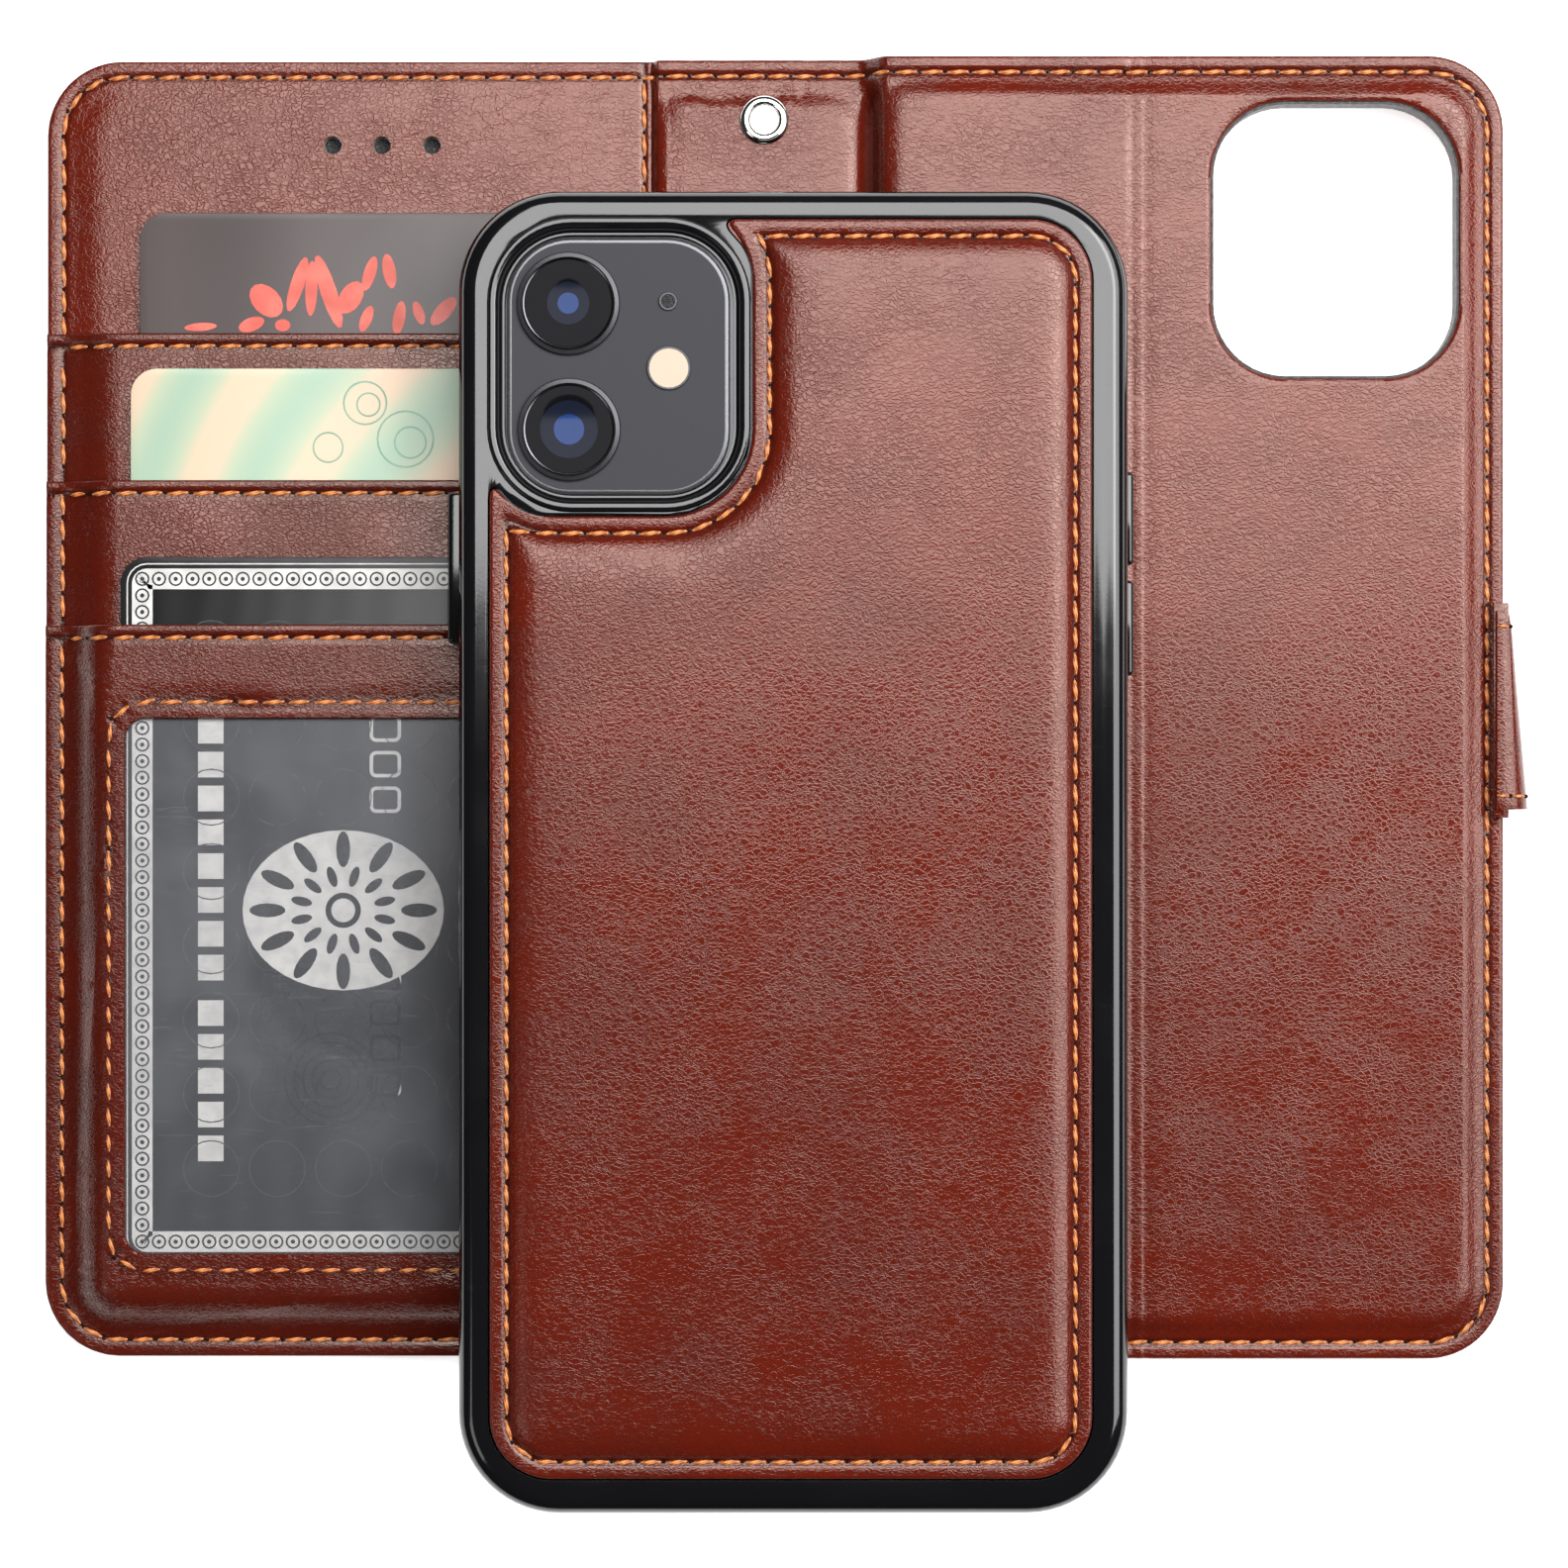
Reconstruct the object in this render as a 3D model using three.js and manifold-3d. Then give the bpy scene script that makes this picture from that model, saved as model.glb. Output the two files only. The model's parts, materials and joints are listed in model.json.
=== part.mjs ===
// Phone wallet case: a folding leather cover lying open, inside up, with card pockets, an
// ID window and a clasp strap, and a detachable phone case lying on it with its back up.
// Millimetres. X runs across the open cover, Y up its height, Z up from the table.

import * as THREE from 'three';
import { mergeVertices } from 'three/addons/utils/BufferGeometryUtils.js';
import Module from 'manifold-3d';

const wasm = await Module();
wasm.setup();

// ---------------------------------------------------------------- driving dimensions

const LAYER_GAP = 0.1;      // between flat layers that lie on one another
const FIT_GAP = 0.3;        // round pieces let into one another and round cut edges
const ARC_STEPS = 6;        // straight steps in a quarter turn

// The cover, open and flat
const COVER = { left: -90.1, right: 87.1, bottom: -70.6, top: 87.4, corner: 9.2 };
const SKIN = 0.8;           // outer leather
const LINING = 0.9;         // inner leather with its padding

// Creases: the two folds beside the spine and the stand fold down the back cover
const SPINE_FOLD_X = 9.9;
const FRONT_FOLD_X = -14.6;
const STAND_FOLD_X = 42.9;
const CREASE_RELIEF = 1.6;  // stiff layers stop this far from a book fold
const STAND_RELIEF = 0.8;   // and this far from the stand fold

// Heights of the three panels above the table and the thickness of their boards
const BACK = { base: 3.3, board: 1.8 };
const SPINE = { base: 0.6, board: 1.4 };
const FRONT = { skin: 0.7, board: 0.9, liner: 0.5 };

// Window in the back cover for the phone's camera
const CAMERA_CUTOUT = { left: 51.6, right: 81.6, bottom: 48.2, top: 81.7, corner: 9.0 };

// Magnets that hold the phone case, let into the outer back board
const DOCK_MAGNET = { radius: 5.0, thick: 1.6, columns: [57.5, 75.5], rows: [28.0, -30.0] };

// Wrist strap eyelet at the top of the spine
const EYELET = { x: -2.5, y: 79.9, flange: 2.95, barrel: 2.1, bore: 1.7, rim: 0.6 };

// Sound holes at the top of the front cover
const SOUND_HOLE = { radius: 1.1, y: 77.1, columns: [-55.2, -49.2, -43.1] };

// Card pockets, lowest sheet first. Each mouth is open towards the top of the cover.
const CARD = { width: 54.0, height: 85.6, thick: 0.76, corner: 3.2 };
const CARD_PLACES = [
  { left: -78.6, top: 68.7 },
  { left: -79.5, top: 49.6 },
  { left: -80.5, top: 26.6 },
];
const POCKET = { sheet: 0.5, right: -18.5, mouths: [54.0, 36.0, 18.4] };
const CARD_PLAY = 0.5;      // side play of a card in its pocket
const WINDOW = { left: -79.8, right: -27.6, bottom: -57.7, top: 7.0, corner: 2.5 };
const FILM = { thick: 0.25, margin: 1.4 };

// Clasp strap: sewn to the edge of the back cover and tucked under it
const CLASP = { bottom: -4.0, top: 20.0, thick: 3.0, corner: 5.0 };
const CLASP_PIVOT_X = 90.4;
const CLASP_MID = 32.0;     // pivot to the fold before the tip
const CLASP_TIP = 14.0;     // from that fold to the free end
const ROOT = { inner: 85.2, strip: 0.6, proudTop: 0.8, proudBottom: 3.0, overlap: 1.0 };
const TIP_MAGNET = { left: 46.2, right: 51.8, bottom: 2.0, top: 14.0, thick: 1.2 };
const KEEPER = { left: -88.0, right: -82.0, bottom: -2.0, top: 18.0, thick: 0.8 };

// Detachable case, lying on the open cover with its back up
const CASE = { x: 1.0, y: -9.0, width: 79.4, height: 156.8, corner: 12.0 };
const CASE_BASE = 7.2;
const CASE_RIM = 18.3;      // top of the frame
const CASE_ROUND = 2.2;     // rounding of the frame's outer edges
const LIP = 0.9;            // the frame stands this far past the screen
const PANEL = { left: -34.9, right: 36.3, bottom: -83.0, top: 65.8, corner: 7.3 };
const CAMERA = { left: -34.2, right: -5.0, bottom: 32.2, top: 65.1, corner: 9.0 };
const NOTCH = { left: -36.9, right: -3.8, bottom: 30.7, top: 68.4, corner: 10.3 };
const RING_WIDTH = 0.9;
const SHELL = 1.0;          // hard back plate
const FOAM = 0.6;           // padding and steel plate under the leather
const FOAM_INSET = 3.4;
const CASE_LEATHER = 0.8;
const STEEL = { left: -22.0, right: 26.0, bottom: -56.0, top: 22.0, corner: 3.0 };

// Handset of the class that the case is made for
const PHONE = { width: 75.7, height: 150.9, thick: 8.3, corner: 10.1, round: 2.6 };
const PHONE_PLAY = 0.1;
const PLATEAU = { left: -32.9, right: -6.5, bottom: 33.3, top: 63.7, corner: 7.5, thick: 1.2 };
const LENS = { radius: 6.1, thick: 0.8, places: [[-25.6, 55.9], [-25.5, 41.0]] };
const FLASH = { x: -13.7, y: 48.3, radius: 2.6, thick: 0.2 };
const MICROPHONE = { x: -13.8, y: 56.2, radius: 1.1, thick: 0.2 };

// Side buttons, the mute switch slot and the slots in the bottom edge
const BUTTON_SLOT = { low: 10.3, high: 14.2 };
const VOLUME_UP = { bottom: 25.2, top: 36.3 };
const VOLUME_DOWN = { bottom: 12.0, top: 23.4 };
const POWER = { bottom: 15.8, top: 33.9 };
const VOLUME_PROUD = 0.9;
const POWER_PROUD = 1.5;
const BUTTON_STANDOFF = 0.65;   // between a button's inner face and the handset
const MUTE_SLOT = { bottom: 41.9, top: 51.9 };
const PORT_SLOT = { half: 7.0 };
const SPEAKER_SLOT = { near: 10.5, far: 24.5 };

// ---------------------------------------------------------------- heights that follow

const clasp_top = CLASP.thick;
const back_skin_top = BACK.base + SKIN;
const back_board_base = back_skin_top + LAYER_GAP;
const back_board_top = back_board_base + BACK.board;
const back_lining_base = back_board_top + LAYER_GAP;
const back_top = back_lining_base + LINING;
const spine_board_base = SPINE.base + SKIN + LAYER_GAP;
const spine_lining_base = spine_board_base + SPINE.board + LAYER_GAP;
const spine_top = spine_lining_base + LINING;
const front_board_base = FRONT.skin + LAYER_GAP;
const front_liner_base = front_board_base + FRONT.board + LAYER_GAP;
const front_top = front_liner_base + FRONT.liner;
const pocket_step = CARD.thick + POCKET.sheet + 2 * LAYER_GAP;
const phone_base = CASE_BASE + LIP;
const phone_top = phone_base + PHONE.thick;
const shell_base = phone_top + LAYER_GAP;
const foam_base = shell_base + SHELL + LAYER_GAP;
const leather_base = foam_base + FOAM + LAYER_GAP;
const leather_top = leather_base + CASE_LEATHER;
const plateau_base = phone_top + LAYER_GAP;
const plateau_top = plateau_base + PLATEAU.thick;
const case_left = CASE.x - CASE.width / 2;
const case_right = CASE.x + CASE.width / 2;
const case_bottom = CASE.y - CASE.height / 2;
const phone_left = CASE.x - PHONE.width / 2;
const phone_right = CASE.x + PHONE.width / 2;
const clasp_tip_fold_x = CLASP_PIVOT_X - CLASP_MID;

// ---------------------------------------------------------------- materials

function finish(color, roughness, metalness = 0) {
  return new THREE.MeshStandardMaterial({ color, roughness, metalness });
}

const finishes = {
  outerLeather: () => finish(0x4a1c12, 0.35),
  innerLeather: () => finish(0x6b2417, 0.3),
  board: () => finish(0x8f8474, 0.9),
  magnet: () => finish(0x9a9ca0, 0.35, 1),
  steel: () => finish(0xa9abae, 0.4, 1),
  nickel: () => finish(0xd0d0ce, 0.2, 1),
  film: () => finish(0xb9bec2, 0.15),
  blackFrame: () => finish(0x0c0c0d, 0.12),
  blackPlate: () => finish(0x141416, 0.3),
  foam: () => finish(0x35322f, 0.95),
  handset: () => finish(0x17181a, 0.3, 0.6),
  lensPlate: () => finish(0x3c3e41, 0.4),
  lens: () => finish(0x07080c, 0.05),
  flash: () => finish(0xf1ead2, 0.3),
  grille: () => finish(0x0a0a0a, 0.6),
  greyCard: () => finish(0x3b3d44, 0.4),
  mintCard: () => finish(0x9fd6b8, 0.4),
  blackCard: () => finish(0x191a1d, 0.4),
};

// ---------------------------------------------------------------- shape helpers

// A rectangle with its own radius at each corner: bottom left, bottom right, top right, top left.
function roundedOutline(box, corners) {
  const [bl, br, tr, tl] = corners;
  const { left, right, bottom, top } = box;
  const shape = new THREE.Shape();
  shape.moveTo(left + bl, bottom);
  shape.lineTo(right - br, bottom);
  if (br > 0) shape.absarc(right - br, bottom + br, br, -Math.PI / 2, 0);
  shape.lineTo(right, top - tr);
  if (tr > 0) shape.absarc(right - tr, top - tr, tr, 0, Math.PI / 2);
  shape.lineTo(left + tl, top);
  if (tl > 0) shape.absarc(left + tl, top - tl, tl, Math.PI / 2, Math.PI);
  shape.lineTo(left, bottom + bl);
  if (bl > 0) shape.absarc(left + bl, bottom + bl, bl, Math.PI, Math.PI * 1.5);
  return shape;
}

function evenOutline(box, corner = box.corner) {
  return roundedOutline(box, [corner, corner, corner, corner]);
}

// The same box moved outwards (or inwards, when grow is negative) on all sides.
function grown(box, grow) {
  return {
    left: box.left - grow,
    right: box.right + grow,
    bottom: box.bottom - grow,
    top: box.top + grow,
    corner: box.corner + grow,
  };
}

function boxAround(x, y, width, height, corner) {
  return {
    left: x - width / 2,
    right: x + width / 2,
    bottom: y - height / 2,
    top: y + height / 2,
    corner,
  };
}

// A flat layer of the given outline between two heights.
function layer(shape, low, high) {
  const options = { depth: high - low, bevelEnabled: false, curveSegments: ARC_STEPS };
  return new THREE.ExtrudeGeometry(shape, options).translate(0, 0, low);
}

// The same with its upper and lower edges rounded.
function softLayer(shape, low, high, round, steps) {
  const options = {
    depth: high - low - 2 * round,
    bevelThickness: round,
    bevelSize: round,
    bevelOffset: -round,
    bevelSegments: steps,
    curveSegments: ARC_STEPS,
  };
  return new THREE.ExtrudeGeometry(shape, options).translate(0, 0, low + round);
}

function block(left, right, bottom, top, low, high) {
  const geometry = new THREE.BoxGeometry(right - left, top - bottom, high - low);
  return geometry.translate((left + right) / 2, (bottom + top) / 2, (low + high) / 2);
}

function disc(x, y, radius, low, high, sides = 24) {
  const geometry = new THREE.CylinderGeometry(radius, radius, high - low, sides);
  return geometry.rotateX(Math.PI / 2).translate(x, y, (low + high) / 2);
}

// A ring turned about Z from an [radius, height] profile that closes on itself.
function turned(x, y, profile, sides = 32) {
  const points = profile.map(([radius, height]) => new THREE.Vector2(radius, height));
  points.push(points[0].clone());
  return new THREE.LatheGeometry(points, sides).rotateX(Math.PI / 2).translate(x, y, 0);
}

function toSolid(geometry) {
  const bare = geometry.clone();
  bare.deleteAttribute('normal');
  bare.deleteAttribute('uv');
  const merged = mergeVertices(bare, 1e-4);
  const vertProperties = new Float32Array(merged.attributes.position.array);
  const triVerts = new Uint32Array(merged.index.array);
  return new wasm.Manifold(new wasm.Mesh({ numProp: 3, vertProperties, triVerts }));
}

function toGeometry(solid) {
  const mesh = solid.getMesh();
  const geometry = new THREE.BufferGeometry();
  geometry.setAttribute('position', new THREE.BufferAttribute(mesh.vertProperties, 3));
  geometry.setIndex(new THREE.BufferAttribute(mesh.triVerts, 1));
  geometry.computeVertexNormals();
  return geometry;
}

function cut(geometry, ...tools) {
  return toGeometry(tools.reduce((solid, tool) => solid.subtract(toSolid(tool)), toSolid(geometry)));
}

function join(geometry, ...others) {
  return toGeometry(others.reduce((solid, other) => solid.add(toSolid(other)), toSolid(geometry)));
}

function piece(name, geometry, makeFinish) {
  const mesh = new THREE.Mesh(geometry, makeFinish());
  mesh.name = name;
  return mesh;
}

function assembly(...pieces) {
  const group = new THREE.Group();
  group.add(...pieces);
  return group;
}

// ---------------------------------------------------------------- folding cover

// One panel of the cover: its full height between two upright edges.
function panelOutline(left, right, roundLeft, roundRight) {
  const box = { left, right, bottom: COVER.bottom, top: COVER.top };
  const leftCorner = roundLeft ? COVER.corner : 0;
  const rightCorner = roundRight ? COVER.corner : 0;
  return roundedOutline(box, [leftCorner, rightCorner, rightCorner, leftCorner]);
}

function panelLayer(outline, low, high, makeTools) {
  const plain = layer(outline, low, high);
  return makeTools ? cut(plain, ...makeTools(low - 1, high + 1)) : plain;
}

function backInner() {
  const left = SPINE_FOLD_X + CREASE_RELIEF;
  const outline = panelOutline(left, STAND_FOLD_X - STAND_RELIEF, false, false);
  return assembly(
    piece('back_inner_skin', panelLayer(outline, BACK.base, back_skin_top), finishes.outerLeather),
    piece('back_inner_board', panelLayer(outline, back_board_base, back_board_top), finishes.board),
    piece('back_inner_lining', panelLayer(outline, back_lining_base, back_top), finishes.innerLeather),
  );
}

function dockMagnetPlaces() {
  return DOCK_MAGNET.rows.flatMap((y) => DOCK_MAGNET.columns.map((x) => [x, y]));
}

function backOuter() {
  const outline = panelOutline(STAND_FOLD_X + STAND_RELIEF, COVER.right, false, true);
  const cameraHole = (low, high) => [layer(evenOutline(CAMERA_CUTOUT), low, high)];
  const magnetHoles = (low, high) => dockMagnetPlaces().map(
    ([x, y]) => disc(x, y, DOCK_MAGNET.radius + FIT_GAP, low, high));
  const boardTools = (low, high) => [...cameraHole(low, high), ...magnetHoles(low, high)];
  const magnetBase = back_board_base + (BACK.board - DOCK_MAGNET.thick) / 2;
  const magnets = dockMagnetPlaces().map(([x, y], index) => piece(
    `dock_magnet_${index + 1}`,
    disc(x, y, DOCK_MAGNET.radius, magnetBase, magnetBase + DOCK_MAGNET.thick),
    finishes.magnet,
  ));
  const skin = panelLayer(outline, BACK.base, back_skin_top, cameraHole);
  const board = panelLayer(outline, back_board_base, back_board_top, boardTools);
  const lining = panelLayer(outline, back_lining_base, back_top, cameraHole);
  return assembly(
    piece('back_outer_skin', skin, finishes.outerLeather),
    piece('back_outer_board', board, finishes.board),
    piece('back_outer_lining', lining, finishes.innerLeather),
    ...magnets,
  );
}

function spine() {
  const left = FRONT_FOLD_X + CREASE_RELIEF;
  const outline = panelOutline(left, SPINE_FOLD_X - CREASE_RELIEF, false, false);
  const holeRadius = EYELET.barrel + FIT_GAP;
  const hole = (low, high) => [disc(EYELET.x, EYELET.y, holeRadius, low, high)];
  const boardBase = spine_board_base;
  const liningBase = spine_lining_base;
  return assembly(
    piece('spine_skin', panelLayer(outline, SPINE.base, SPINE.base + SKIN, hole), finishes.outerLeather),
    piece('spine_board', panelLayer(outline, boardBase, boardBase + SPINE.board, hole), finishes.board),
    piece('spine_lining', panelLayer(outline, liningBase, spine_top, hole), finishes.innerLeather),
    piece('eyelet_barrel', eyeletBarrel(), finishes.nickel),
    piece('eyelet_washer', eyeletWasher(), finishes.nickel),
  );
}

// The eyelet's tube with its rolled flange on the inner side.
function eyeletBarrel() {
  const flangeBase = spine_top + LAYER_GAP;
  const flangeTop = flangeBase + EYELET.rim;
  const foot = SPINE.base - EYELET.rim;
  return turned(EYELET.x, EYELET.y, [
    [EYELET.bore, foot],
    [EYELET.barrel, foot],
    [EYELET.barrel, flangeBase],
    [EYELET.flange, flangeBase],
    [EYELET.flange, flangeBase + EYELET.rim * 0.4],
    [EYELET.flange - 0.45, flangeTop],
    [EYELET.bore + 0.25, flangeTop],
    [EYELET.bore, flangeTop - 0.25],
  ]);
}

// The washer that the tube's foot is set over on the outer side.
function eyeletWasher() {
  const top = SPINE.base - LAYER_GAP;
  const low = top - EYELET.rim / 2;
  const inner = EYELET.barrel + LAYER_GAP;
  return turned(EYELET.x, EYELET.y, [
    [inner, low],
    [EYELET.flange, low],
    [EYELET.flange, top],
    [inner, top],
  ]);
}

// ---------------------------------------------------------------- front cover and pockets

function pocketBase(index) {
  return front_top + LAYER_GAP + index * pocket_step;
}

function frontBoards() {
  const right = FRONT_FOLD_X - CREASE_RELIEF;
  const outline = panelOutline(COVER.left, right, true, false);
  const soundHoles = (low, high) => SOUND_HOLE.columns.map(
    (x) => disc(x, SOUND_HOLE.y, SOUND_HOLE.radius, low, high, 16));
  const keeperRoom = grown({ ...KEEPER, corner: 0 }, FIT_GAP);
  const boardTools = (low, high) => [
    ...soundHoles(low, high),
    block(keeperRoom.left, keeperRoom.right, keeperRoom.bottom, keeperRoom.top, low, high),
  ];
  const boardTop = front_board_base + FRONT.board;
  const keeperBase = front_board_base + (FRONT.board - KEEPER.thick) / 2;
  const keeper = block(
    KEEPER.left, KEEPER.right, KEEPER.bottom, KEEPER.top, keeperBase, keeperBase + KEEPER.thick);
  const skin = panelLayer(outline, 0, FRONT.skin, soundHoles);
  const board = panelLayer(outline, front_board_base, boardTop, boardTools);
  const liner = panelLayer(outline, front_liner_base, front_top, soundHoles);
  return assembly(
    piece('front_skin', skin, finishes.outerLeather),
    piece('front_board', board, finishes.board),
    piece('front_liner', liner, finishes.innerLeather),
    piece('keeper_plate', keeper, finishes.steel),
  );
}

// A pocket: one sheet sewn down at its left, right and bottom edges, with room for a card
// below it that is open at the mouth.
function pocketSolid(index, extraRoom = 0) {
  const mouth = POCKET.mouths[index];
  const base = pocketBase(index);
  const roomTop = base + CARD.thick + LAYER_GAP + extraRoom;
  const box = { left: COVER.left, right: POCKET.right, bottom: COVER.bottom, top: mouth };
  const outline = roundedOutline(box, [COVER.corner, 0, 0, 0]);
  const place = CARD_PLACES[index];
  const room = block(
    place.left - CARD_PLAY, place.left + CARD.width + CARD_PLAY,
    place.top - CARD.height - CARD_PLAY, mouth + 1, base - 1, roomTop);
  return cut(layer(outline, base, roomTop + POCKET.sheet), room);
}

function pockets() {
  const filmRoom = FILM.thick + LAYER_GAP;
  const windowHole = layer(evenOutline(WINDOW), front_top, CASE_RIM);
  const filmBox = grown(WINDOW, FILM.margin);
  const filmBase = pocketBase(2) + CARD.thick + LAYER_GAP;
  const roomForFilm = layer(evenOutline(grown(filmBox, FIT_GAP)), front_top, filmBase + filmRoom);
  const idPocket = cut(pocketSolid(2, filmRoom), windowHole, roomForFilm);
  const film = layer(evenOutline(filmBox), filmBase, filmBase + FILM.thick);
  return assembly(
    piece('card_pocket_1', pocketSolid(0), finishes.innerLeather),
    piece('card_pocket_2', pocketSolid(1), finishes.innerLeather),
    piece('id_pocket', idPocket, finishes.innerLeather),
    piece('id_window', film, finishes.film),
  );
}

function cards() {
  const colours = [finishes.greyCard, finishes.mintCard, finishes.blackCard];
  return assembly(...CARD_PLACES.map((place, index) => {
    const box = {
      left: place.left,
      right: place.left + CARD.width,
      bottom: place.top - CARD.height,
      top: place.top,
    };
    const base = pocketBase(index);
    const card = layer(evenOutline(box, CARD.corner), base, base + CARD.thick);
    return piece(`card_${index + 1}`, card, colours[index]);
  }));
}

// ---------------------------------------------------------------- clasp

// Where the strap shows past the cover's edge; it leans out towards the bottom.
function claspEdge(inset) {
  const upper = COVER.right + ROOT.proudTop - inset;
  const lower = COVER.right + ROOT.proudBottom - inset;
  return { upper, lower };
}

function claspRoot() {
  const edge = claspEdge(0);
  const inner = COVER.right + FIT_GAP;
  const stripBase = back_top + LAYER_GAP;
  const stripTop = stripBase + ROOT.strip;
  const bend = new THREE.Shape();
  bend.moveTo(inner, CLASP.bottom);
  bend.lineTo(edge.lower, CLASP.bottom);
  bend.lineTo(edge.upper, CLASP.top);
  bend.lineTo(inner, CLASP.top);
  const strip = block(
    ROOT.inner, inner + FIT_GAP, CLASP.bottom - ROOT.overlap, CLASP.top + ROOT.overlap,
    stripBase, stripTop);
  const root = join(layer(bend, clasp_top + FIT_GAP, stripTop), strip);
  return assembly(piece('clasp_root', root, finishes.outerLeather));
}

function clasp() {
  const edge = claspEdge(0.2);
  const fold = clasp_tip_fold_x;
  const strap = new THREE.Shape();
  strap.moveTo(fold + FIT_GAP, CLASP.bottom);
  strap.lineTo(edge.lower, CLASP.bottom);
  strap.lineTo(edge.upper, CLASP.top);
  strap.lineTo(fold + FIT_GAP, CLASP.top);
  const tipBox = {
    left: fold - CLASP_TIP,
    right: fold - FIT_GAP,
    bottom: CLASP.bottom,
    top: CLASP.top,
  };
  const tipOutline = roundedOutline(tipBox, [CLASP.corner, 0, 0, CLASP.corner]);
  const magnetBase = (CLASP.thick - TIP_MAGNET.thick) / 2;
  const magnetTop = magnetBase + TIP_MAGNET.thick;
  const room = block(
    TIP_MAGNET.left - FIT_GAP, fold + 1, TIP_MAGNET.bottom - FIT_GAP, TIP_MAGNET.top + FIT_GAP,
    magnetBase - LAYER_GAP, magnetTop + LAYER_GAP);
  const magnet = block(
    TIP_MAGNET.left, TIP_MAGNET.right, TIP_MAGNET.bottom, TIP_MAGNET.top, magnetBase, magnetTop);
  return assembly(
    piece('strap_leather', layer(strap, 0, CLASP.thick), finishes.outerLeather),
    piece('tip_leather', cut(layer(tipOutline, 0, CLASP.thick), room), finishes.outerLeather),
    piece('tip_magnet', magnet, finishes.magnet),
  );
}

// ---------------------------------------------------------------- detachable case

// The leather field of the case's back: a rounded rectangle with a bite round the camera.
function panelField(low, high, inset) {
  const field = layer(evenOutline(grown(PANEL, -inset)), low, high);
  return cut(field, layer(evenOutline(grown(NOTCH, inset)), low - 1, high + 1));
}

function sideSlot(x, range, grow) {
  return block(
    x - 3, x + 3, range.bottom - grow, range.top + grow,
    BUTTON_SLOT.low - grow, BUTTON_SLOT.high + grow);
}

function bumperFrame() {
  const outer = boxAround(CASE.x, CASE.y, CASE.width, CASE.height, CASE.corner);
  const inner = boxAround(
    CASE.x, CASE.y, PHONE.width + 2 * PHONE_PLAY, PHONE.height + 2 * PHONE_PLAY,
    PHONE.corner + PHONE_PLAY);
  const body = softLayer(evenOutline(outer), CASE_BASE, CASE_RIM, CASE_ROUND, 3);
  const phoneRoom = layer(evenOutline(inner), CASE_BASE - 1, phone_top + LAYER_GAP / 2);
  const backRoom = panelField(phone_top - 1, CASE_RIM + 1, -FIT_GAP);
  const cameraRoom = layer(
    evenOutline(grown(CAMERA, RING_WIDTH + LAYER_GAP)), phone_top - 1, CASE_RIM + 1);
  const port = block(
    CASE.x - PORT_SLOT.half, CASE.x + PORT_SLOT.half, case_bottom - 2, case_bottom + 5,
    BUTTON_SLOT.low, BUTTON_SLOT.high);
  const speakers = [-1, 1].map((side) => {
    const ends = [CASE.x + side * SPEAKER_SLOT.near, CASE.x + side * SPEAKER_SLOT.far];
    return block(
      Math.min(...ends), Math.max(...ends), case_bottom - 2, case_bottom + 5,
      BUTTON_SLOT.low + 0.8, BUTTON_SLOT.high - 0.8);
  });
  return cut(
    body, phoneRoom, backRoom, cameraRoom, port, ...speakers,
    sideSlot(case_right, VOLUME_UP, FIT_GAP),
    sideSlot(case_right, VOLUME_DOWN, FIT_GAP),
    sideSlot(case_right, MUTE_SLOT, 0),
    sideSlot(case_left, POWER, FIT_GAP),
  );
}

function cameraRing() {
  const ring = softLayer(
    evenOutline(grown(CAMERA, RING_WIDTH)), phone_top + LAYER_GAP, leather_top - LAYER_GAP, 0.35, 1);
  return cut(ring, layer(evenOutline(CAMERA), phone_top - 1, leather_top + 1));
}

function caseBack() {
  const steel = layer(evenOutline(STEEL), foam_base, foam_base + FOAM);
  const steelRoom = layer(evenOutline(grown(STEEL, FIT_GAP)), foam_base - 1, foam_base + FOAM + 1);
  const foam = cut(panelField(foam_base, foam_base + FOAM, FOAM_INSET), steelRoom);
  return assembly(
    piece('bumper_frame', bumperFrame(), finishes.blackFrame),
    piece('back_shell', panelField(shell_base, shell_base + SHELL, 0), finishes.blackPlate),
    piece('steel_plate', steel, finishes.steel),
    piece('foam_pad', foam, finishes.foam),
    piece('case_leather', panelField(leather_base, leather_top, 0), finishes.innerLeather),
    piece('camera_ring', cameraRing(), finishes.blackFrame),
  );
}

function buttons() {
  const tall = [BUTTON_SLOT.low, BUTTON_SLOT.high];
  const rightInner = phone_right + BUTTON_STANDOFF;
  const rightOuter = case_right + VOLUME_PROUD;
  const leftInner = phone_left - BUTTON_STANDOFF;
  const leftOuter = case_left - POWER_PROUD;
  const volume = (range) => block(rightInner, rightOuter, range.bottom, range.top, ...tall);
  return assembly(
    piece('volume_up', volume(VOLUME_UP), finishes.blackFrame),
    piece('volume_down', volume(VOLUME_DOWN), finishes.blackFrame),
    piece('power_button', block(leftOuter, leftInner, POWER.bottom, POWER.top, ...tall),
      finishes.blackFrame),
  );
}

// ---------------------------------------------------------------- handset

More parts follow.
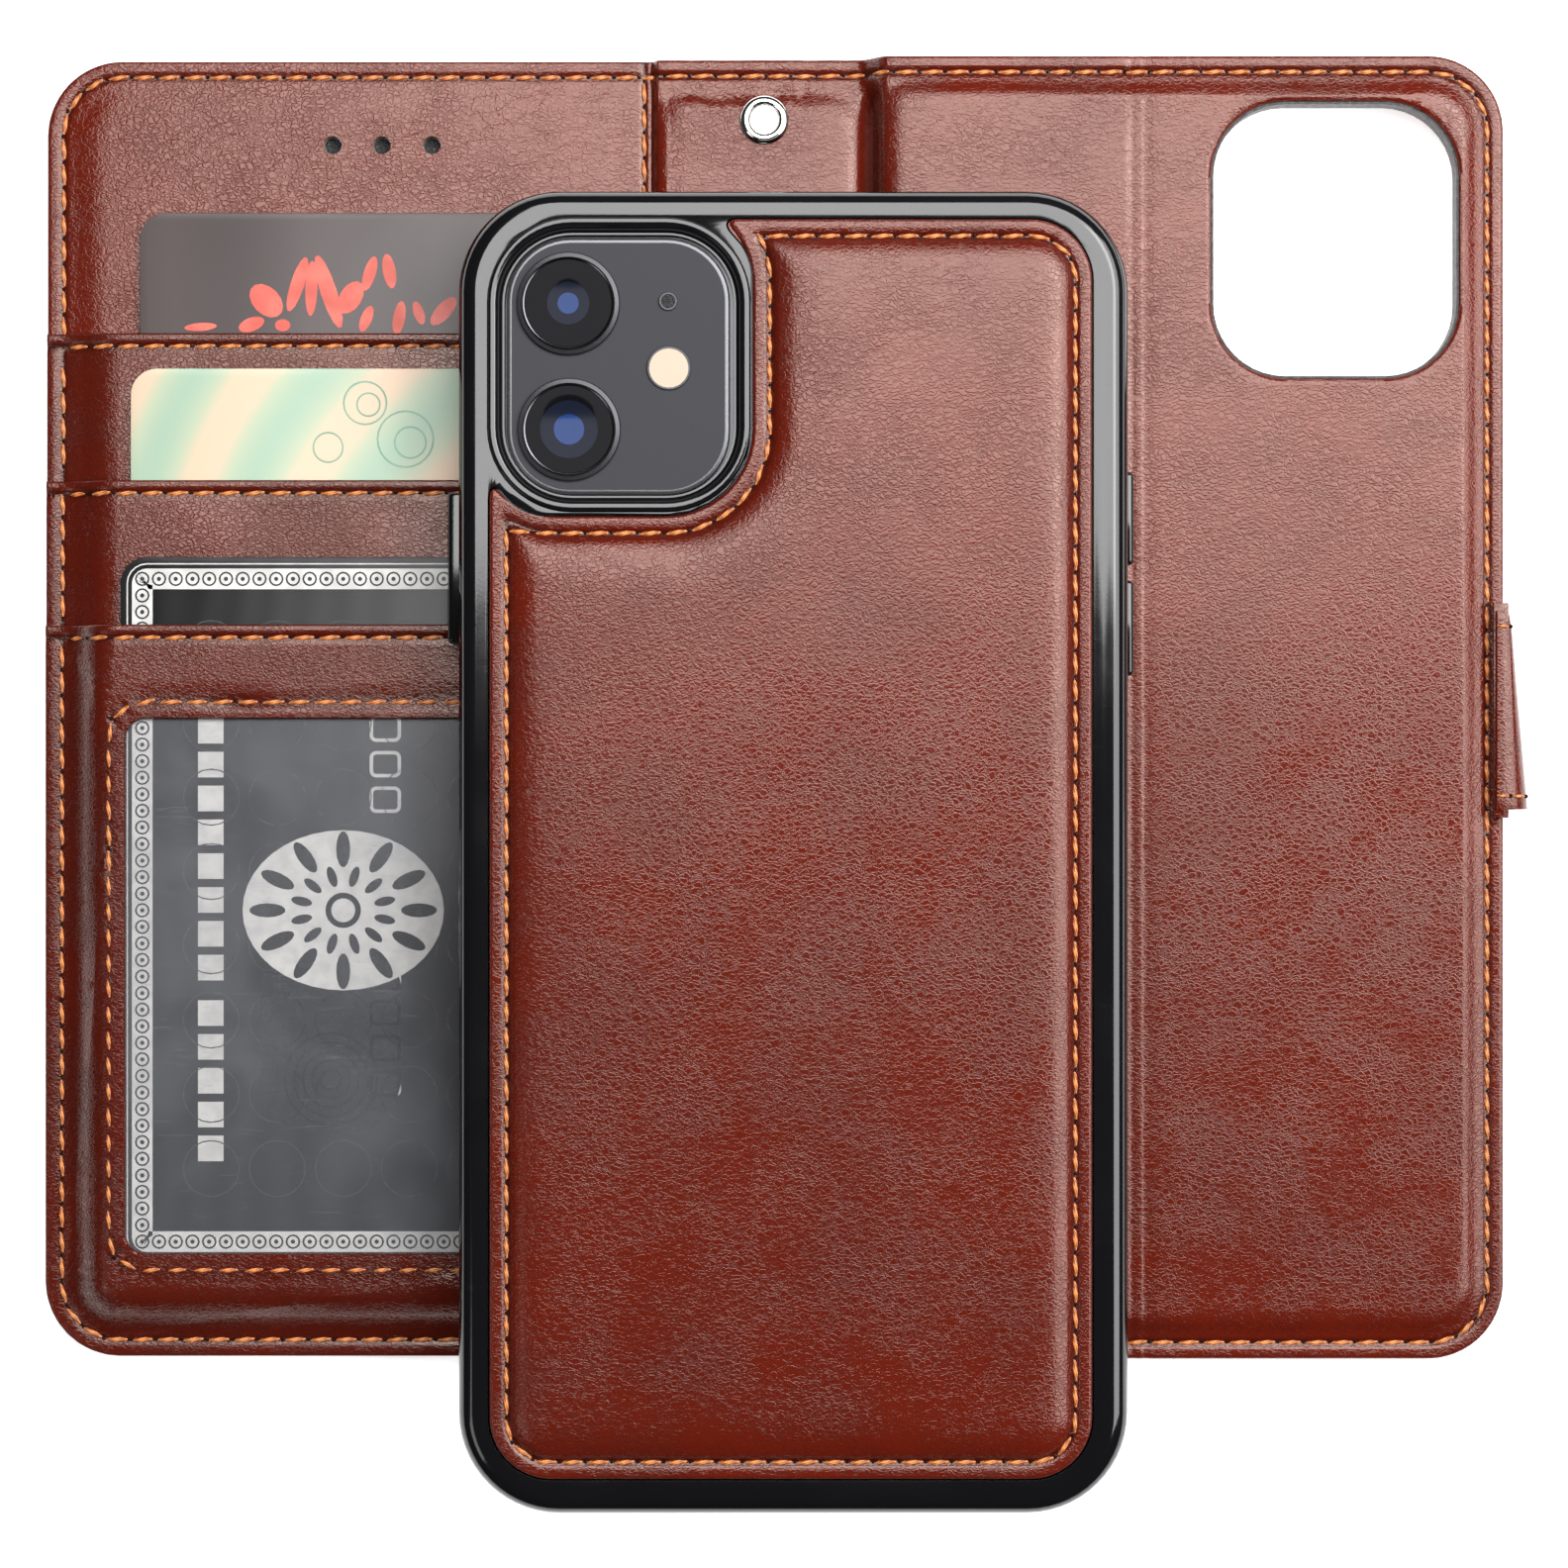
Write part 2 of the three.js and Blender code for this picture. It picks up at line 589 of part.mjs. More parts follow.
function handset() {
  const outline = evenOutline(boxAround(CASE.x, CASE.y, PHONE.width, PHONE.height, PHONE.corner));
  const body = softLayer(outline, phone_base, phone_top, PHONE.round, 2);
  const plate = softLayer(evenOutline(PLATEAU), plateau_base, plateau_top, 0.3, 1);
  const low = plateau_top + LAYER_GAP;
  const [upper, lower] = LENS.places.map(([x, y]) => disc(x, y, LENS.radius, low, low + LENS.thick, 36));
  const flash = disc(FLASH.x, FLASH.y, FLASH.radius, low, low + FLASH.thick);
  const microphone = disc(MICROPHONE.x, MICROPHONE.y, MICROPHONE.radius, low, low + MICROPHONE.thick, 16);
  return assembly(
    piece('phone_body', body, finishes.handset),
    piece('camera_plate', plate, finishes.lensPlate),
    piece('lens_upper', upper, finishes.lens),
    piece('lens_lower', lower, finishes.lens),
    piece('flash_window', flash, finishes.flash),
    piece('microphone', microphone, finishes.grille),
  );
}

// ---------------------------------------------------------------- the whole object

export default assembly(
  backInner(),
  backOuter(),
  claspRoot(),
  spine(),
  frontBoards(),
  pockets(),
  cards(),
  clasp(),
  caseBack(),
  buttons(),
  handset(),
);
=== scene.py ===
"""Phone wallet case: an open folding leather cover and the padded phone case that lies on it.

All builders work in millimetres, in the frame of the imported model, and each piece is brought to
metres when it is made into an object.
"""

import json
import logging
import math
import random
from dataclasses import dataclass, field
from enum import Enum
from functools import partial
from typing import Callable, Iterable, Optional, Sequence

import bmesh
import bpy
from bmesh.types import BMEdge, BMesh, BMFace, BMVert
from bpy.types import Material, Node, NodeSocket, NodeTree, Object
from mathutils import Matrix, Vector, noise


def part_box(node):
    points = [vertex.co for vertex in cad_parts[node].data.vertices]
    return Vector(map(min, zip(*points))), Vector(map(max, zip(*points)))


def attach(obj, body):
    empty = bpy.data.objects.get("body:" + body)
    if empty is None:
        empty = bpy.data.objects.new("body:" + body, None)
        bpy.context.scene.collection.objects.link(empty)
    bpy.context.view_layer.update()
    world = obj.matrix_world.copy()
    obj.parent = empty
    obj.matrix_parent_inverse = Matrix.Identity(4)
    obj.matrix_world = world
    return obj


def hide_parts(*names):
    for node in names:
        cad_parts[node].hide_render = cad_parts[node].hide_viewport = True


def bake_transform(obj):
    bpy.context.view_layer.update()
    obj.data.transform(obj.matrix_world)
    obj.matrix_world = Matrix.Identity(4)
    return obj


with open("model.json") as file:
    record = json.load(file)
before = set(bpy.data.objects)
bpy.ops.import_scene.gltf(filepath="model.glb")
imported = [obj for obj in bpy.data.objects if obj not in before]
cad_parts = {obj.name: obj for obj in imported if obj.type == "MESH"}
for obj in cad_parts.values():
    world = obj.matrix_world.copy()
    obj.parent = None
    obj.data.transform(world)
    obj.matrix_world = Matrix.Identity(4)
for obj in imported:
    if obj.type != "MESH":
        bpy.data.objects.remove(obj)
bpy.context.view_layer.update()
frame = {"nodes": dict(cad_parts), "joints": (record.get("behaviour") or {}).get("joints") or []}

LOG = logging.getLogger("wallet")
MM = 0.001
Height = Callable[[float, float], float]
Colour = tuple[float, float, float]


# ---- numbers and outlines


def smooth(value: float, start: float, end: float) -> float:
    """Ease from 0 at start to 1 at end.

    Args:
        value: Where to read the ramp.
        start: Where the ramp leaves 0.
        end: Where it reaches 1.

    Returns:
        The eased share, from 0 to 1.
    """
    share = min(1.0, max(0.0, (value - start) / (end - start)))
    return share * share * (3.0 - 2.0 * share)


def ridge(value: float, centre: float, width: float) -> float:
    """Return a bell of height 1 round centre."""
    return math.exp(-(((value - centre) / width) ** 2))


def ripple(x: float, y: float, size: float, seed: float = 0.0) -> float:
    """Return slow unevenness between about -0.5 and 0.5, of the given size in millimetres."""
    return noise.noise(Vector((x / size, y / size, seed)))


def edge_roll(depth: float, radius: float) -> float:
    """Say how far a rounded edge lies below the flat.

    Args:
        depth: Distance in from the edge.
        radius: Radius of the rounding.

    Returns:
        The drop, radius at the edge itself and 0 from radius inwards.
    """
    inward = radius - min(radius, max(0.0, depth))
    return radius - math.sqrt(max(0.0, radius * radius - inward * inward))


@dataclass(frozen=True)
class Corner:
    """A corner of a flat outline and the radius that it is rounded to."""

    x: float
    y: float
    radius: float = 0.0


@dataclass(frozen=True)
class Panel:
    """An upright rectangle with its own radius at each corner: bottom left, then round."""

    left: float
    right: float
    bottom: float
    top: float
    radii: tuple[float, float, float, float] = (0.0, 0.0, 0.0, 0.0)

    def corners(self) -> list[Corner]:
        """Return the outline, anticlockwise."""
        places = ((self.left, self.bottom), (self.right, self.bottom),
                  (self.right, self.top), (self.left, self.top))
        return [Corner(x, y, radius) for (x, y), radius in zip(places, self.radii)]

    def grown(self, by: float) -> "Panel":
        """Return the panel moved out by that much on all sides."""
        radii = tuple(max(0.0, radius + by) if radius else 0.0 for radius in self.radii)
        return Panel(self.left - by, self.right + by, self.bottom - by, self.top + by, radii)

    def depth(self, x: float, y: float) -> float:
        """Return the distance in from the outline, negative outside it."""
        middle_x, middle_y = (self.left + self.right) / 2, (self.bottom + self.top) / 2
        low, east = y < middle_y, x > middle_x
        radius = self.radii[(1 if east else 0) if low else (2 if east else 3)]
        over_x = abs(x - middle_x) - (self.right - self.left) / 2 + radius
        over_y = abs(y - middle_y) - (self.top - self.bottom) / 2 + radius
        outside = math.hypot(max(over_x, 0.0), max(over_y, 0.0))
        return radius - outside - min(max(over_x, over_y), 0.0)


@dataclass(frozen=True)
class Span:
    """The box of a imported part."""

    left: float
    right: float
    bottom: float
    top: float
    low: float
    high: float

    @classmethod
    def of(cls, node: str) -> "Span":
        """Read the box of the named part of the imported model."""
        low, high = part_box(node)
        sides = (low.x, high.x, low.y, high.y, low.z, high.z)
        return cls(*(side / MM for side in sides))

    @property
    def middle(self) -> tuple[float, float]:
        """The centre of the box, seen from above."""
        return (self.left + self.right) / 2, (self.bottom + self.top) / 2

    def panel(self, *radii: float) -> Panel:
        """Return the outline with one radius for all corners, or one for each."""
        each = tuple(radii) if len(radii) == 4 else (radii[0] if radii else 0.0,) * 4
        return Panel(self.left, self.right, self.bottom, self.top, each)


def packed(node: str) -> Span:
    """Give a sub-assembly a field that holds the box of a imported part."""
    return field(default_factory=lambda: Span.of(node))


@dataclass(frozen=True)
class Pad:
    """A padded field that rises from a seam to its full height over a slope."""

    panel: Panel
    height: float
    slope: float

    def rise(self, x: float, y: float) -> float:
        """Return how far the padding lifts the surface there."""
        return self.height * smooth(self.panel.depth(x, y), 0.0, self.slope)


def moved_out(corners: Sequence[Corner], by: float) -> list[Corner]:
    """Move every side of an anticlockwise outline out by the same distance.

    Args:
        corners: The outline.
        by: The distance, negative to move it in.

    Returns:
        The new outline, its radii changed to match.
    """
    result = []
    for index, corner in enumerate(corners):
        before, after = corners[index - 1], corners[(index + 1) % len(corners)]
        arrive = Vector((corner.x - before.x, corner.y - before.y)).normalized()
        leave = Vector((after.x - corner.x, after.y - corner.y)).normalized()
        out = Vector((arrive.y + leave.y, -arrive.x - leave.x)) / (1.0 + arrive.dot(leave))
        turns_left = arrive.cross(leave) > 0
        radius = max(0.05, corner.radius + (by if turns_left else -by)) if corner.radius else 0.0
        result.append(Corner(corner.x + out.x * by, corner.y + out.y * by, radius))
    return result


# ---- flat regions and solids


def face_out(mesh: BMesh) -> None:
    """Turn all faces outwards."""
    bmesh.ops.recalc_face_normals(mesh, faces=mesh.faces[:])


def inset(mesh: BMesh, face: BMFace, width: float) -> None:
    """Shrink a face evenly, leaving a band of the given width round it."""
    bmesh.ops.inset_region(mesh, faces=[face], thickness=width, use_even_offset=True,
                           use_boundary=True)


def round_over(mesh: BMesh, edges: Sequence[BMEdge], radius: float, segments: int) -> None:
    """Round edges over, no further than their faces allow."""
    bmesh.ops.bevel(mesh, geom=edges, offset=radius, offset_type="OFFSET", segments=segments,
                    profile=0.5, affect="EDGES", material=-1, clamp_overlap=True)


def flat_face(mesh: BMesh, corners: Sequence[Corner], z: float = 0.0, steps: int = 8) -> BMFace:
    """Make one flat face with rounded corners.

    Args:
        mesh: The mesh that gets the face.
        corners: Its outline, anticlockwise.
        z: Its height.
        steps: Straight steps in each rounded corner.

    Returns:
        The face.
    """
    points = [mesh.verts.new((corner.x, corner.y, z)) for corner in corners]
    face = mesh.faces.new(points)
    for index, (point, corner) in enumerate(zip(points, corners)):
        if corner.radius <= 0.0:
            continue
        before, after = corners[index - 1], corners[(index + 1) % len(corners)]
        arrive = Vector((corner.x - before.x, corner.y - before.y))
        leave = Vector((after.x - corner.x, after.y - corner.y))
        reach = corner.radius * math.tan(arrive.angle(leave) / 2)
        bmesh.ops.bevel(mesh, geom=[point], offset=reach, offset_type="OFFSET", segments=steps,
                        profile=0.5, affect="VERTICES", material=-1)
        mesh.faces.ensure_lookup_table()
        face = mesh.faces[-1] if not face.is_valid else face
    return face


def nested_loops(mesh: BMesh, corners: Sequence[Corner], reaches: Sequence[float],
                 steps: int) -> list[BMEdge]:
    """Make flat bands that follow an outline, one inside the next.

    Args:
        mesh: The mesh that gets the bands.
        corners: The outline, anticlockwise.
        reaches: How far out of the outline each further loop lies, negative for inside it.
        steps: Straight steps in each rounded corner.

    Returns:
        The edges of the last loop.
    """
    loops = []
    for reach in (0.0, *reaches):
        face = flat_face(mesh, moved_out(corners, reach), steps=steps)
        loops.append(list(face.edges))
        mesh.faces.remove(face)
    for near, far in zip(loops, loops[1:]):
        bmesh.ops.bridge_loops(mesh, edges=near + far)
    return loops[-1]


def disc(x: float, y: float, radius: float) -> list[Corner]:
    """Return a round outline."""
    return Panel(x - radius, x + radius, y - radius, y + radius, (radius * 0.999,) * 4).corners()


def inset_path(corners: Sequence[Corner], inset: float, steps: int = 10) -> list[Vector]:
    """Return the closed line that runs inside an outline at a fixed distance."""
    mesh = bmesh.new()
    face = flat_face(mesh, moved_out(corners, -inset), steps=steps)
    path = [loop.vert.co.xy.copy() for loop in face.loops]
    mesh.free()
    return path


def cut_lines(mesh: BMesh, faces: list[BMFace], axis: int,
              places: Sequence[float]) -> None:
    """Cut flat faces along parallel lines, the middle line first and then each half.

    Args:
        mesh: The mesh that holds the faces.
        faces: The faces to cut.
        axis: 0 for lines at fixed X, 1 for lines at fixed Y.
        places: Where the lines run, in rising order.
    """
    if not places or not faces:
        return
    half = len(places) // 2
    normal = Vector((1.0, 0.0, 0.0)) if axis == 0 else Vector((0.0, 1.0, 0.0))
    edges = list({edge for face in faces for edge in face.edges})
    points = list({point for face in faces for point in face.verts})
    cut = bmesh.ops.bisect_plane(mesh, geom=points + edges + faces, dist=1e-4,
                                 plane_co=normal * places[half], plane_no=normal)
    whole = [part for part in cut["geom"] if isinstance(part, BMFace)]
    below = [face for face in whole if face.calc_center_median()[axis] < places[half]]
    above = [face for face in whole if face.calc_center_median()[axis] >= places[half]]
    cut_lines(mesh, below, axis, places[:half])
    cut_lines(mesh, above, axis, places[half + 1:])


def spread(low: float, high: float, pitch: float, extra: Iterable[float] = ()) -> list[float]:
    """Return evenly spaced places between two ends, with some extra places added."""
    count = max(1, round((high - low) / pitch))
    even = {round(low + (high - low) * step / count, 4) for step in range(1, count)}
    return sorted(even | {round(place, 4) for place in extra if low < place < high})


@dataclass
class Sheet:
    """A sheet whose two sides each follow a height, such as a piece of leather."""

    outline: Sequence[Corner]
    top: Height
    under: Height
    holes: Sequence[Sequence[Corner]] = ()
    rings: Sequence[float] = (0.12, 0.4)
    hole_rings: Sequence[float] = (0.15, 0.5)
    pitch: float = 1.6
    extra_x: Sequence[float] = ()
    extra_y: Sequence[float] = ()
    # A mask along the seam groove, kept on the vertices for the leather's painted shadow there.
    seam: Optional[Height] = None
    steps: int = 8

    def build(self) -> BMesh:
        """Cut, ring and grid the flat sheet, then give its sides their heights.

        Returns:
            A closed mesh in millimetres.
        """
        mesh = bmesh.new()
        # This layer carries the mask for the painted shadow along the seam groove.
        seam_shade_layer = mesh.verts.layers.float.new("seam")
        borders = nested_loops(mesh, self.outline, [-ring for ring in self.rings], self.steps)
        for hole in self.holes:
            borders += nested_loops(mesh, hole, self.hole_rings, self.steps)
        if self.holes:
            bmesh.ops.triangle_fill(mesh, edges=borders, use_beauty=True, normal=(0.0, 0.0, 1.0))
        else:
            bmesh.ops.contextual_create(mesh, geom=borders)
        xs = [corner.x for corner in self.outline]
        ys = [corner.y for corner in self.outline]
        cut_lines(mesh, mesh.faces[:], 0, spread(min(xs), max(xs), self.pitch, self.extra_x))
        cut_lines(mesh, mesh.faces[:], 1, spread(min(ys), max(ys), self.pitch, self.extra_y))
        lower = mesh.verts[:]
        grown = bmesh.ops.extrude_face_region(mesh, geom=mesh.faces[:])
        upper = [part for part in grown["geom"] if isinstance(part, BMVert)]
        for points, height in ((lower, self.under), (upper, self.top)):
            for point in points:
                x, y = point.co.xy
                point.co.z = height(x, y)
                point[seam_shade_layer] = self.seam(x, y) if self.seam else 0.0
        face_out(mesh)
        return mesh


def thicken(mesh: BMesh, faces: list[BMFace], height: float) -> None:
    """Give flat faces a thickness, closed all round."""
    grown = bmesh.ops.extrude_face_region(mesh, geom=faces)
    upper = [part for part in grown["geom"] if isinstance(part, BMVert)]
    bmesh.ops.translate(mesh, verts=upper, vec=(0.0, 0.0, height))
    face_out(mesh)


def prism(corners: Sequence[Corner], low: float, high: float, steps: int = 8) -> BMesh:
    """Return a straight-sided solid over an outline."""
    mesh = bmesh.new()
    thicken(mesh, [flat_face(mesh, corners, low, steps)], high - low)
    return mesh


def band(corners: Sequence[Corner], width: float, low: float, high: float, steps: int) -> BMesh:
    """Return a straight-sided band of even width just inside an outline."""
    mesh = bmesh.new()
    face = flat_face(mesh, corners, low, steps)
    inset(mesh, face, width)
    bmesh.ops.delete(mesh, geom=[face], context="FACES_ONLY")
    thicken(mesh, mesh.faces[:], high - low)
    return mesh


def soften_rims(mesh: BMesh, radius: float, segments: int, heights: Sequence[float]) -> None:
    """Round the edges that lie at the given heights.

    Args:
        mesh: The mesh to round.
        radius: How far the rounding reaches.
        segments: Steps across the rounding.
        heights: The heights of the rims.
    """
    rims = [edge for edge in mesh.edges
            if any(all(abs(point.co.z - height) < 1e-4 for point in edge.verts)
                   for height in heights) and edge.calc_face_angle(0.0) > 0.5]
    round_over(mesh, rims, radius, segments)


def rounded_block(left: float, right: float, bottom: float, top: float, low: float, high: float,
                  radius: float, segments: int = 3) -> BMesh:
    """Return a box with all of its edges rounded."""
    mesh = bmesh.new()
    size = Matrix.Diagonal((right - left, top - bottom, high - low, 1.0))
    place = Matrix.Translation(((left + right) / 2, (bottom + top) / 2, (low + high) / 2))
    bmesh.ops.create_cube(mesh, size=1.0, matrix=place @ size)
    round_over(mesh, mesh.edges[:], radius, segments)
    return mesh


def turned(x: float, y: float, profile: Sequence[tuple[float, float]], steps: int = 48,
           closed: bool = False) -> BMesh:
    """Spin a profile of (radius, height) round an upright axis.

    Args:
        x: Place of the axis.
        y: Place of the axis.
        profile: The line that is turned; it ends on the axis unless it is closed.
        steps: Steps in the full turn.
        closed: Whether the profile's last point joins its first.

    Returns:
        The turned mesh.
    """
    mesh = bmesh.new()
    points = [mesh.verts.new((x + radius, y, height)) for radius, height in profile]
    pairs = list(zip(points, points[1:])) + ([(points[-1], points[0])] if closed else [])
    edges = [mesh.edges.new(pair) for pair in pairs]
    bmesh.ops.spin(mesh, geom=points + edges, cent=(x, y, 0.0), axis=(0.0, 0.0, 1.0),
                   angle=math.tau, steps=steps, use_merge=True)
    bmesh.ops.remove_doubles(mesh, verts=mesh.verts[:], dist=1e-4)
    face_out(mesh)
    return mesh


def settle(mesh: BMesh, name: str) -> bpy.types.Mesh:
    """Turn a shape, which is freed, into mesh data."""
    data = bpy.data.meshes.new(name)
    mesh.to_mesh(data)
    mesh.free()
    return data


def put_in_scene(name: str, data: bpy.types.ID) -> Object:
    """Return a new object that holds the data."""
    item = bpy.data.objects.new(name, data)
    bpy.context.scene.collection.objects.link(item)
    return item


def add_mesh(target: BMesh, part: BMesh, index: int = 0) -> None:
    """Add a part to a mesh with the given material index, and free the part."""
    for face in part.faces:
        face.material_index = index
    carrier = settle(part, "carrier")
    target.from_mesh(carrier)
    bpy.data.meshes.remove(carrier)


# ---- shader graphs


class Graph:
    """Short calls for making and joining shader nodes in one tree."""

    def __init__(self, tree: NodeTree) -> None:
        """Work on the given tree."""
        self.tree = tree

    def add(self, kind: str, inputs: Optional[dict] = None, **settings) -> Node:
        """Add a node.

        Args:
            kind: The node's type without its ShaderNode prefix.
            inputs: Values or output sockets for its inputs, by name or number.
            **settings: Values for the node's own properties.

        Returns:
            The node.
        """
        node = self.tree.nodes.new(kind if kind.startswith("Node") else "ShaderNode" + kind)
        for name, value in settings.items():
            setattr(node, name, value)
        for key, value in (inputs or {}).items():
            if isinstance(value, NodeSocket):
                self.tree.links.new(value, node.inputs[key])
            else:
                node.inputs[key].default_value = value
        return node

    def math(self, operation: str, first, second=0.0, clamp: bool = False):
        """Add a Math node and return its output."""
        node = self.add("Math", {0: first, 1: second}, operation=operation, use_clamp=clamp)
        return node.outputs[0]

    def vector(self, operation: str, first, second):
        """Add a Vector Math node and return its output."""
        other = "Scale" if operation == "SCALE" else 1
        return self.add("VectorMath", {0: first, other: second}, operation=operation).outputs[0]

    def group(self, tree: NodeTree, place, **values: float) -> Node:
        """Add a shared group that reads the place, with its own values."""
        return self.add("Group", {"Vector": place, **values}, node_tree=tree)

    def ramp(self, value, start: float, end: float, low: float = 0.0, high: float = 1.0):
        """Map a value from one range to another with soft ends, and return the output."""
        inputs = {"Value": value, "From Min": start, "From Max": end, "To Min": low, "To Max": high}
        return self.add("MapRange", inputs, interpolation_type="SMOOTHSTEP").outputs[0]

    def blend(self, factor, first, second, mode: str = "MIX"):
        """Mix two colours and return the output."""
        pair = [(*value, 1.0) if isinstance(value, tuple) else value for value in (first, second)]
        node = self.add("Mix", {0: factor, 6: pair[0], 7: pair[1]}, data_type="RGBA",
                        blend_type=mode)
        return node.outputs[2]

    def noise(self, vector, scale: float, detail: float = 3.0, distortion: float = 0.0):
        """Add a Noise texture and return its value output."""
        inputs = {"Vector": vector, "Scale": scale, "Detail": detail, "Distortion": distortion}
        return self.add("TexNoise", inputs).outputs[0]

    def coordinates(self):
        """Return the object coordinates."""
        return self.add("TexCoord").outputs["Object"]

    def surface(self, inputs: dict) -> Node:
        """Add the Principled shader with its inputs and join it to the output."""
        shader = self.add("BsdfPrincipled", inputs)
        target = self.add("OutputMaterial")
        self.tree.links.new(shader.outputs[0], target.inputs[0])
        return shader


class SharedGroup:
    """Node groups that several finishes use, each built once."""

    _made: dict[str, NodeTree] = {}

    @classmethod
    def get(cls, name: str, inputs: Sequence[tuple[str, str, float]], outputs: Sequence[str],
            fill: Callable[[Graph, Node, Node], None]) -> NodeTree:
        """Return the group, building it at its first use.

        Args:
            name: The group's name.
            inputs: Name, socket type and first value of each input.
            outputs: Names of its value outputs.
            fill: Makes the nodes between the group's input and output nodes.

        Returns:
            The group's tree.
        """
        if name not in cls._made:
            tree = bpy.data.node_groups.new(name, "ShaderNodeTree")
            for label, kind, value in inputs:
                socket = tree.interface.new_socket(label, in_out="INPUT", socket_type=kind)
                if kind == "NodeSocketFloat":
                    socket.default_value = value
            for label in outputs:
                tree.interface.new_socket(label, in_out="OUTPUT", socket_type="NodeSocketFloat")
            graph = Graph(tree)
            fill(graph, graph.add("NodeGroupInput"), graph.add("NodeGroupOutput"))
            cls._made[name] = tree
        return cls._made[name]


def grain_group() -> NodeTree:
    """Return the group for creased leather: wrinkled cells, finer cells and a slow mottle."""

    def fill(graph: Graph, given: Node, result: Node) -> None:
        """Make the leather grain's nodes."""
        per_cell = graph.math("DIVIDE", 1.0, given.outputs["Cell"])
        place = graph.vector("SCALE", given.outputs["Vector"], per_cell)
        wander = graph.add("TexNoise", {"Vector": place, "Scale": 0.55, "Detail": 3.0}).outputs[1]
        pull = graph.vector("SCALE", graph.vector("SUBTRACT", wander, (0.5, 0.5, 0.5)), 2.4)
        wide = graph.vector("MULTIPLY", graph.vector("ADD", place, pull), (0.62, 1.15, 1.0))
        large, broad = (graph.add("TexVoronoi", {"Vector": wide, "Scale": scale},
                                  feature="DISTANCE_TO_EDGE").outputs["Distance"]
                        for scale in (1.0, 0.3))
        fade = graph.ramp(graph.noise(place, 0.07, 3.0), 0.36, 0.62, 0.6, 1.0)
        cells = graph.math("MULTIPLY", graph.ramp(large, 0.0, 0.22, 0.8, 0.0), fade)
        patch = graph.ramp(graph.noise(place, 0.05, 2.0), 0.42, 0.62)
        folds = graph.math("MULTIPLY", graph.ramp(broad, 0.0, 0.06, 0.5, 0.0), patch)
        crease = graph.math("ADD", cells, folds, clamp=True)
        dome = graph.ramp(large, 0.0, 0.45, 0.0, 0.12)
        level = graph.math("SUBTRACT", graph.math("ADD", dome, 0.65), crease)
        speck = graph.math("MULTIPLY", graph.noise(place, 4.0, 2.0), 0.06)
        links = {"Crease": crease, "Level": graph.math("ADD", level, speck),
                 "Mottle": graph.noise(place, 0.035, 4.0)}
        for label, socket in links.items():
            graph.tree.links.new(socket, result.inputs[label])

    inputs = [("Vector", "NodeSocketVector", 0.0), ("Cell", "NodeSocketFloat", 0.001)]
    return SharedGroup.get("Leather grain", inputs, ("Level", "Crease", "Mottle"), fill)


def rub_group() -> NodeTree:
    """Return the group for handling marks: hairline rubs and soft smears."""

    def fill(graph: Graph, given: Node, result: Node) -> None:
        """Make the nodes for rubs and smears."""
        vector = given.outputs["Vector"]
        long = graph.vector("MULTIPLY", vector, (1.0, 9.0, 4.0))
        lines = graph.ramp(graph.noise(long, 260.0, 5.0, 1.2), 0.6, 0.74)
        smear = graph.ramp(graph.noise(vector, 60.0, 4.0, 0.8), 0.35, 0.75)
        both = graph.math("ADD", graph.math("MULTIPLY", lines, 0.55),
                          graph.math("MULTIPLY", smear, 0.6))
        marks = graph.math("MULTIPLY", both, given.outputs["Amount"])
        graph.tree.links.new(marks, result.inputs["Marks"])

    inputs = [("Vector", "NodeSocketVector", 0.0), ("Amount", "NodeSocketFloat", 0.1)]
    return SharedGroup.get("Handling marks", inputs, ("Marks",), fill)


def fleck_group() -> NodeTree:
    """Return the group for fibrous or grainy stock such as board, foam and card."""

    def fill(graph: Graph, given: Node, result: Node) -> None:
        """Make the nodes for flecks."""
        fine = graph.add("TexNoise", {"Vector": given.outputs["Vector"],
                                      "Scale": given.outputs["Scale"], "Detail": 6.0}).outputs[0]
        graph.tree.links.new(graph.ramp(fine, 0.3, 0.7), result.inputs["Fleck"])

    inputs = [("Vector", "NodeSocketVector", 0.0), ("Scale", "NodeSocketFloat", 900.0)]
    return SharedGroup.get("Flecks", inputs, ("Fleck",), fill)


def new_material(name: str) -> tuple[Material, Graph]:
    """Return an empty material and its graph."""
    material = bpy.data.materials.new(name)
    material.use_nodes = True
    material.node_tree.nodes.clear()
    return material, Graph(material.node_tree)


# ---- finishes


